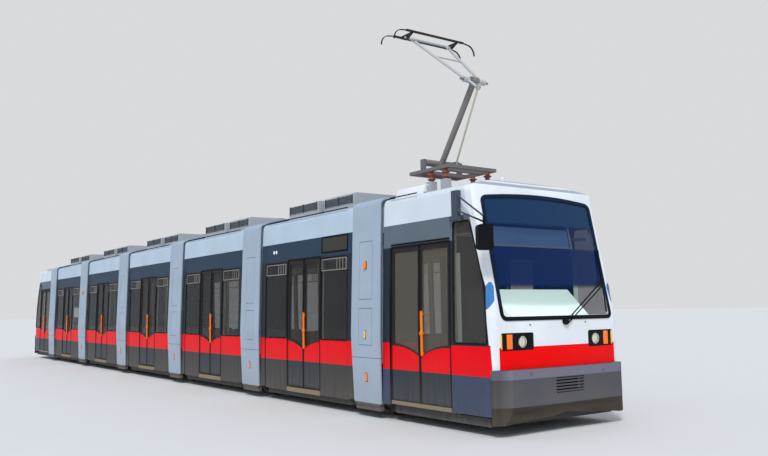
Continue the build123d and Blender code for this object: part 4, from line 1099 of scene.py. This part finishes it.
for index, portal_y in enumerate(PORTALS, 1):
    for side, module in ((-1, index), (1, index + 1)):
        module_end = portal_y + side * (PITCH / 2 - HALF_MODULE)
        portal_end = portal_y + side * PORTAL_FACE
        skin = bellows(f"bellows_{module}_{index}", module_end, portal_end)
        painted(skin, rubber)
        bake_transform(skin)
print("twelve bellows fitted")

# %% [markdown]
# ## Marker lamps on the portals
# The first and fifth portals carry an orange lamp high up and a yellow marker at belt height. All
# six have an orange reflector near the ground.

# %% Portal lamps
COVER_LEVELS = ((0.17, 1.170), (1.15, 1.200), (3.065, 1.145))     # z and x
MARKERS = {"lamp": (2.150, 0.050, 0.100, 0.030), "marker": (1.160, 0.036, 0.110, 0.014),
           "reflector": (0.560, 0.046, 0.115, 0.010)}     # height, width, length and how far it stands out
BASE_OUT, BASE_RIM, LENS_DARKER = 0.005, 0.006, 0.8


def marker(kind, side, y):
    """A slim base plate and the lens on it."""
    z, width, tall, proud = MARKERS[kind]
    x = side * at_level(COVER_LEVELS, z)
    pair = []
    for name, out, rim, bevel, segments in (("base", BASE_OUT, BASE_RIM, 0.003, 2),
                                            ("lens", proud, 0.0, min(0.008, proud * 0.6), 3)):
        x0, x1 = sorted((x, x + side * out))
        low = (x0, y - width / 2 - rim, z - tall / 2 - rim)
        piece = block(name, low, (x1, y + width / 2 + rim, z + tall / 2 + rim), bevel, segments)
        for point in piece.data.vertices:
            point.co.x += side * at_level(COVER_LEVELS, point.co.z) - x
        pair.append(piece)
    return pair


def lens_finish(name, colour, painted_glow=0.25):
    """Ribbed coloured plastic that glows faintly: painted light that stands in for daylight caught in the
    lens.
    """
    material, tree, shader, place = finish(name)
    ribs = node(tree, "ShaderNodeTexWave", {"Vector": place, "Scale": 34.0, "Distortion": 0.0},
                bands_direction="Z").outputs[1]
    ramp = mixed(tree, ribs, colour, tuple(channel * LENS_DARKER for channel in colour[:3]) + (1,))
    fill(tree, shader, {
        "Base Color": ramp, "Roughness": 0.15, "Normal": bumped(tree, ribs, strength=0.5, distance=0.002),
        "Emission Color": ramp, "Emission Strength": painted_glow})
    return material


# painted light: the portal lenses glow faintly, standing in for daylight caught in them
orange_lens = lens_finish("orange lens", srgb(255, 122, 20))
yellow_lens = lens_finish("yellow lens", srgb(250, 190, 40))
for index, portal_y in enumerate(PORTALS, 1):
    for kind in MARKERS if index in (1, 5) else ("reflector",):
        bases, lenses = zip(*(marker(kind, side, portal_y) for side in (-1, 1)))
        finish_piece(joined(f"portal_{index}_{kind}_base", bases), f"portal_{index}", trim)
        finish_piece(joined(f"portal_{index}_{kind}", lenses), f"portal_{index}",
                     yellow_lens if kind == "marker" else orange_lens)
print("marker lamps fitted")

# %% [markdown]
# ## Side aprons
# Seen from outside, the coloured bands run on right up to a portal's cover. A flexible apron
# carries them over the gap. It is a grid whose rows follow the body's section and whose columns
# run from the module's side to the portal.

# %% Aprons beside every portal
APRON_START, APRON_END, APRON_IN, APRON_THICK, COLUMNS = 0.5335, 0.392, 0.006, 0.003, 6
SECTION = ((1.150, 0.220, 0.338), (1.150, 1.100, 0.368), (1.130, 2.100, 0.374), (1.107, 2.955, APRON_END),
           (1.098, 3.001, APRON_END), (1.076, 3.036, APRON_END), (1.041, 3.053, APRON_END),
           (0.980, 3.071, APRON_END))     # x, z, and how far from the portal's middle the apron ends


def apron(side):
    """An apron on one side of the gap ahead of a portal at y = 0."""
    rows = len(SECTION) - 1
    bpy.ops.object.select_all(action="DESELECT")
    bpy.ops.mesh.primitive_grid_add(x_subdivisions=COLUMNS, y_subdivisions=rows, size=1)
    skin = thickened(started("apron"), APRON_THICK)
    for point in skin.data.vertices:
        x, z, end = SECTION[round((point.co.y + 0.5) * rows)]
        share = point.co.x + 0.5
        out = x + point.co.z - APRON_IN * share
        point.co = (side * out, -(APRON_START + (end - APRON_START) * share), z)
    if side < 0:
        skin.data.flip_normals()
    return skin


aprons = joined("aprons", [apron(side) for side in (-1, 1)])
for index, portal_y in enumerate(PORTALS, 1):
    for way, module in ((-1, index), (1, index + 1)):
        twin = copied(aprons, f"aprons_{module}_{index}", portal_y, turned=way > 0)
        painted(twin, end_paint if module in END_MODULES else middle_paint)
        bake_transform(twin)
bpy.data.objects.remove(aprons)
print("aprons at", len(PORTALS) * 2, "places")

# %% [markdown]
# ## Trim of the end modules
# The end modules get the same seals, hopper, door rubber and handle. Their cab windows have six
# corners, so their bead is a rubber tube through a rounded outline. All of it is drawn for the
# front module about its portal; the tail's copy is mirrored and then turned half round, which
# keeps the doors on one side.

# %% Trim of both end modules
END_DOOR_HALF, END_HANDLE_OFF = 0.625, 0.075
FAR_WINDOW = (-DOOR_SIDE, -1.820, -0.565)
CAB_WINDOW = ((1.885, 1.085), (2.490, 1.085), (2.445, 1.760), (2.330, 2.170), (2.190, 2.590), (1.885, 2.590))
BEAD_CORNER, BEAD_RADIUS, BEAD_IN = 0.05, 0.011, 0.002
HEADER_Z = (2.382, 2.406)


def rounded(points, radius, steps=4):
    """A closed outline with its corners rounded."""
    corners = [Vector(point) for point in points]
    outline = []
    for index, corner in enumerate(corners):
        before, after = corners[index - 1], corners[(index + 1) % len(corners)]
        a = corner + (before - corner).normalized() * radius
        b = corner + (after - corner).normalized() * radius
        for step in range(steps + 1):
            share = step / steps
            outline.append(a * (1 - share) ** 2 + corner * (2 * share * (1 - share)) + b * share ** 2)
    return outline


def cab_bead(side):
    """The rubber bead round a cab window."""
    outline = rounded([(-s, z) for s, z in CAB_WINDOW], BEAD_CORNER)
    return tube("bead", [(side * (wall_x(z) - BEAD_IN), y, z) for y, z in outline], BEAD_RADIUS, closed=True)


def door_header():
    """The slim rail over an end module's door."""
    wall = DOOR_SIDE * wall_x(HEADER_Z[0])
    return block("header", (wall - 0.010, -END_DOOR - END_DOOR_HALF, HEADER_Z[0]),
                 (wall + 0.004, -END_DOOR + END_DOOR_HALF, HEADER_Z[1]), 0.003)


def at_both_ends(label, parts, material):
    """Joins parts drawn about the front portal, and copies them to both end modules."""
    template = joined(label, parts)
    for end, number, portal_y in ENDS:
        rear = end == "rear"
        twin = copied(template, f"module_{number}_{label}", portal_y, turned=rear, mirrored=rear)
        finish_piece(twin, f"module_{number}", material)
    bpy.data.objects.remove(template)


far_seals = [window_seal(*FAR_WINDOW)] + [cab_bead(side) for side in (-1, 1)]
at_both_ends("window_seals", far_seals, rubber)
at_both_ends("hopper", hopper(*FAR_WINDOW), hopper_metal)
end_rubbers = door_rubber(-END_DOOR, END_DOOR_HALF) + [door_header()]
at_both_ends("door_rubbers", end_rubbers, rubber)
at_both_ends("door_handle", handle(-END_DOOR - END_HANDLE_OFF), handle_paint)
at_both_ends("gutters", [gutter(side, -1.15, -0.535) for side in (-1, 1)], rubber)
print("end modules trimmed")

# %% [markdown]
# ## Windscreen
# A rubber frame holds the windscreen. It is drawn flat, and its top is arched as it is laid on
# the raked face. It is black along the foot, and above that it reads as dark blue against the
# tinted glass.

# %% Windscreen frame
RING_HALF, RING_LOW, RING_TOP, RING_DARK = 1.004, 1.352, 2.952, 1.53
ARCH, ARCH_FROM = 0.055, 2.6


def arched_face(u, w, out):
    """The raked front face, for a frame whose top sinks towards the sides."""
    drop = ARCH * (u / RING_HALF) ** 2 * max(0.0, (w - ARCH_FROM) / (RING_TOP - ARCH_FROM))
    return on_face(u, w - drop, out)


def ring_colour(tree, place):
    """Black along the foot and dark blue above it."""
    return bands(tree, place, ((RING_DARK, srgb(22, 36, 58)),), COLOURS["black"])


ring = flat_frame((-RING_HALF, RING_LOW), (RING_HALF, RING_TOP), width=0.050, depth=0.008, radius=0.09,
                  cuts=9)
laid(ring, arched_face)
ring_rubber = weathered("windscreen rubber", ring_colour, 0.45, dust=0.0)
at_both_ends("windscreen_frame", [ring], ring_rubber)
print("windscreens framed")

# %% [markdown]
# ## Sun visor and cab posts
# The visor is a row of rounded slats on a flat sheet behind the windscreen, with a rail along its
# foot and a guide beside it. It glows a little, like the desk: painted light that stands in for
# the sun falling on it. A pale post stands at the back of each cab window, and the posts and the
# visor's rail glow with painted light as well.

# %% Sun visor and cab posts
VISOR_X, VISOR_Z, VISOR_BACK, VISOR_AT, VISOR_RIBS = (-0.87, 0.53), (2.27, 2.52), 0.085, 0.9, 7
RAIL_TALL, GUIDE_LEVELS = 0.020, (2.12, 2.34, 2.56)
POST_X, POST_HALF, POST_Y, POST_Z = 1.078, 0.010, (-1.955, -1.890), (1.095, 2.20)


def on_visor(u, w, out):
    """A flat sheet parallel to the windscreen, behind it."""
    return (u, -(face_s(VISOR_AT, w) - VISOR_BACK + out), w)


(x0, x1), (z0, z1) = VISOR_X, VISOR_Z
rib_tall = (z1 - z0 - RAIL_TALL) / VISOR_RIBS
slats = []
for rib in range(VISOR_RIBS):
    low = z0 + RAIL_TALL + rib_tall * rib
    slats.append(laid(block("slat", (x0, low, 0.0), (x1, low + rib_tall + 0.001, 0.008), 0.003, 1), on_visor))
rail = laid(block("rail", (x0 - 0.01, z0, -0.002), (x1 + 0.01, z0 + RAIL_TALL, 0.014), 0.004), on_visor)
guide = tube("guide", [on_visor(x1 + 0.03, z, 0.01) for z in GUIDE_LEVELS], 0.010)
visor_plastic = weathered("sun visor", srgb(170, 206, 245), 0.6, dust=0.0, peel=300)
# painted light: the visor glows, standing in for the sun that falls on it
with_painted_sunlight(visor_plastic, srgb(150, 200, 255), 0.25)
post_paint = weathered("cab post paint", COLOURS["post"], 0.45, dust=0.0, peel=160)
# painted light: the cab posts and the visor's rail glow, standing in for the sun that falls on them
with_painted_sunlight(post_paint, COLOURS["post"], 0.30)
finish_piece(moved(joined("sun_visor", slats), PORTALS[0]), "module_1", visor_plastic)
finish_piece(moved(joined("visor_rail", [rail, guide]), PORTALS[0]), "module_1", post_paint)
posts = [block("post", (side * POST_X - POST_HALF, POST_Y[0], POST_Z[0]),
               (side * POST_X + POST_HALF, POST_Y[1], POST_Z[1]), 0.004) for side in (-1, 1)]
at_both_ends("cab_posts", posts, post_paint)
print("visor and posts fitted")

# %% [markdown]
# ## Lamps
# Each lamp cluster holds a round headlamp in a chrome bezel, an upright indicator with ribs, and a
# thin marker at its outer edge. The tail has red lenses in place of the headlamps.

# %% Headlamps, tail lamps and indicators
LAMP_X, LAMP_Z, LAMP_RADIUS, LAMP_FRONT, DOME_FLAT = 0.660, 1.100, 0.058, 2.577, 0.22
INDICATOR = ((0.822, 0.912), (1.018, 1.192), (2.556, 2.5815))
EDGE_MARKER = ((0.985, 1.003), (1.018, 1.192), (2.556, 2.574))


def lens_block(side, sizes):
    """A rounded lens between two places across, two heights and two places ahead of the portal."""
    (x0, x1), (z0, z1), (s0, s1) = sizes
    x0, x1 = sorted((side * x0, side * x1))
    return block("lens", (x0, -s1, z0), (x1, -s0, z1), 0.005, 3)


def bezel(side):
    """A chrome ring round a headlamp."""
    bpy.ops.object.select_all(action="DESELECT")
    bpy.ops.mesh.primitive_torus_add(
        location=(side * LAMP_X, -LAMP_FRONT - 0.004, LAMP_Z), rotation=(math.pi / 2, 0, 0),
        major_radius=LAMP_RADIUS + 0.006, minor_radius=0.008, major_segments=40, minor_segments=8)
    return started("bezel")


def dome(side):
    """A shallow round lens: a flattened sphere."""
    bpy.ops.object.select_all(action="DESELECT")
    bpy.ops.mesh.primitive_uv_sphere_add(
        segments=32, ring_count=12, radius=LAMP_RADIUS, rotation=(math.pi / 2, 0, 0),
        location=(side * LAMP_X, -LAMP_FRONT + 0.004, LAMP_Z))
    bpy.context.object.scale = (1.0, 1.0, DOME_FLAT)
    return started("dome")


chrome = weathered("chrome", srgb(214, 214, 212), 0.14, dust=0.0, peel=60, metallic=0.9)
# painted light: the headlamp and tail lenses glow faintly, standing in for daylight caught in them
clear_lens = lens_finish("headlamp lens", srgb(226, 214, 190), painted_glow=0.10)
red_lens = lens_finish("red lens", srgb(200, 14, 16))
bezels = joined("bezels", [bezel(side) for side in (-1, 1)])
domes = joined("domes", [dome(side) for side in (-1, 1)])
for end, number, portal_y in ENDS:
    rear = end == "rear"
    for template, label, material in (
            (bezels, "bezels", chrome), (domes, "lamp_lenses", red_lens if rear else clear_lens)):
        twin = copied(template, f"{end}_{label}", portal_y, turned=rear)
        finish_piece(twin, f"module_{number}", material)
for template in (bezels, domes):
    bpy.data.objects.remove(template)
at_both_ends("indicators", [lens_block(side, INDICATOR) for side in (-1, 1)], orange_lens)
at_both_ends("edge_markers", [lens_block(side, EDGE_MARKER) for side in (-1, 1)], yellow_lens)
print("lamps fitted")

# %% [markdown]
# ## Roof fairings
# A pale fairing stands on each edge of the first roof beside the collector. It could be one profile
# drawn along the roof. Two thin blocks, an upright panel and a folded lip, are simpler, and their
# points are then leaned inwards by height.

# %% Roof fairings
FAIRING_X, FAIRING_S, FAIRING_Z, FAIRING_LEAN = 0.985, (0.500, 1.125), (3.060, 3.190), 0.35


def fairing(side):
    """A thin upright panel with a folded top, leaning in a little."""
    x, (s0, s1), (low, high) = side * FAIRING_X, FAIRING_S, FAIRING_Z
    top = x - side * 0.035
    parts = [block("panel", (x - 0.010, -s1, low), (x + 0.010, -s0, high), 0.004),
             block("lip", (top - 0.030, -s1, high - 0.012), (top + 0.030, -s0, high + 0.004), 0.004)]
    for piece in parts:
        for point in piece.data.vertices:
            point.co.x -= side * (point.co.z - low) * FAIRING_LEAN
    return joined("fairing", parts)


white_paint = weathered("white fittings", COLOURS["white"], 0.35, dust=0.1)
fairings = joined("roof_fairings", [fairing(side) for side in (-1, 1)])
finish_piece(moved(fairings, PORTALS[0]), "module_1", white_paint)
print("roof fairings placed")

# %% [markdown]
# ## Sign box and round plates
# The second module has a blank sign box over its front window and two round plates by its door.
# The box is a rubber border round a thin sheet, and both are laid on the wall.

# %% Sign box and round plates
SIGN_Y, SIGN_Z, SHEET_IN, SHEET_THICK = (-1.340, -0.570), (2.405, 2.665), 0.02, 0.004
PLATE_Z, PLATE_OUT, PLATE_PLACES = 2.525, 0.002, (0.955, 1.040)

sign_glass = weathered("blank sign", COLOURS["sign"], 0.2, dust=0.0, coat=0.2)
low, high = zip(SIGN_Y, SIGN_Z)
border = flat_frame(low, high, width=0.024, depth=0.010, radius=0.02, cuts=3)
sheet = block("sheet", (low[0] + SHEET_IN, low[1] + SHEET_IN, 0.0),
              (high[0] - SHEET_IN, high[1] - SHEET_IN, SHEET_THICK), bevel=0.001, segments=1)
plates = [disc("plate", (DOOR_SIDE * (wall_x(PLATE_Z) + PLATE_OUT), y, PLATE_Z), radius=0.030, depth=0.008,
               axis="x", vertices=24, bevel=0.002) for y in PLATE_PLACES]
for label, piece, material in (
        ("sign_border", on_wall(border, DOOR_SIDE), rubber), ("sign", on_wall(sheet, DOOR_SIDE), sign_glass),
        ("round_plates", joined("plates", plates), white_paint)):
    piece.name = piece.data.name = f"module_2_{label}"
    finish_piece(moved(piece, MIDDLES[0]), "module_2", material)
print("sign box and plates fitted")

# %% [markdown]
# ## Studs and mirror glass
# Four studs on the nose and the glass in the mirror finish the front. Each stud is a short disc with
# a bevelled rim, and the glass is a thin block turned by the mirror's angle.

# %% Studs and mirror glass
STUDS = ((-0.660, 0.727, 2.712, 0.018), (0.630, 0.713, 2.714, 0.018), (-0.549, 1.301, 2.607, 0.011),
         (0.442, 1.316, 2.612, 0.011))     # x, z, distance ahead of the portal and radius
MIRROR_PLACE, MIRROR_TURN = Vector((-1.300, PORTALS[0] - 2.660, 2.330)), math.radians(-20)

steel = weathered("dull steel", srgb(120, 120, 124), 0.4, dust=0.1, metallic=0.5)
studs = [disc("stud", (x, -s, z), radius, depth=0.014, axis="y", vertices=20, bevel=0.003)
         for x, z, s, radius in STUDS]
finish_piece(moved(joined("front_studs", studs), PORTALS[0]), "module_1", steel)
mirror_glass = block("mirror_glass", (-0.080, 0.044, -0.135), (0.080, 0.049, 0.135), 0.002)
mirror_glass.data.transform(Matrix.Translation(MIRROR_PLACE) @ Matrix.Rotation(MIRROR_TURN, 4, "Z"))
finish_piece(mirror_glass, "module_1", chrome)
print("small fittings placed")

# %% [markdown]
# ## Camera
# The photograph was taken from the pavement, seven and a half metres to the door side and seven
# metres ahead of the tram, at eye height, with a normal lens tilted a little up and slightly
# rolled.

# %% Camera at the photograph's angle
CAMERA_PLACE = Vector((-7.572, -18.8365, 1.512))
YAW, TILT, ROLL = math.radians(35.47), math.radians(5.87), math.radians(-0.91)
LENS, SENSOR, FAR = 37.15, 36.0, 400.0      # lens and sensor in millimetres, and how far it sees
ahead = Vector((math.sin(YAW) * math.cos(TILT), math.cos(YAW) * math.cos(TILT), math.sin(TILT)))
level = Vector((math.cos(YAW), -math.sin(YAW), 0))
upright = level.cross(ahead)
right = level * math.cos(ROLL) + upright * math.sin(ROLL)
above = upright * math.cos(ROLL) - level * math.sin(ROLL)
lens = bpy.data.cameras.new("camera")
lens.lens, lens.sensor_width, lens.clip_end = LENS, SENSOR, FAR
camera = bpy.data.objects.new("camera", lens)
bpy.context.scene.collection.objects.link(camera)
turn = Matrix((right, above, -ahead)).transposed().to_4x4()
camera.matrix_world = Matrix.Translation(CAMERA_PLACE) @ turn
bpy.context.scene.camera = camera
print("camera looks along", [round(value, 3) for value in ahead])

# %% [markdown]
# ## Floor and light
# The floor is pale and plain. One soft sun stands where the photograph's does, over the door side
# and the nose, and a pale sky fills the shadows. Their strengths are set so that a colour renders
# about as it is written.

# %% Floor, sun and sky
FLOOR_SIZE, FLOOR_TONE, FLOOR_CLOUDS = 600, (0.80, 0.80, 0.80), (0.97, 1.0)
SUN_STRENGTH, SUN_SOFTNESS, SUN_RAYS = 1.9, math.radians(14), Vector((0.62, 0.60, -0.85))
SKY_LIGHT, SKY_SEEN, SKY_STRENGTH = (0.62, 0.68, 0.76, 1), (0.87, 0.88, 0.89, 1), 0.8

bpy.ops.object.select_all(action="DESELECT")
bpy.ops.mesh.primitive_plane_add(size=FLOOR_SIZE)
floor = started("floor")
floor_material, tree, shader, place = finish("pale floor")
shade = ranged(tree, noise(tree, place, scale=0.6, detail=5.0), 0.0, 1.0, *FLOOR_CLOUDS)
pale = node(tree, "ShaderNodeVectorMath", {0: FLOOR_TONE, 3: shade}, operation="SCALE").outputs[0]
fill(tree, shader, {"Base Color": pale, "Roughness": 0.9})
floor.data.materials.append(floor_material)

sun_data = bpy.data.lights.new("sun", "SUN")
sun_data.energy, sun_data.angle = SUN_STRENGTH, SUN_SOFTNESS
sun = bpy.data.objects.new("sun", sun_data)
sun.rotation_euler = SUN_RAYS.to_track_quat("-Z", "Y").to_euler()
bpy.context.scene.collection.objects.link(sun)

world = bpy.data.worlds.new("pale sky")
bpy.context.scene.world = world
world.use_nodes = True
sky = world.node_tree
rays = sky.nodes.new("ShaderNodeLightPath").outputs
seen = maths(sky, "MAXIMUM", rays["Is Camera Ray"], rays["Is Transmission Ray"])
fill(sky, sky.nodes["Background"], {"Color": mixed(sky, seen, SKY_LIGHT, SKY_SEEN), "Strength": SKY_STRENGTH})
bpy.context.scene.view_settings.view_transform = "Standard"
print("floor, sun and sky are set")
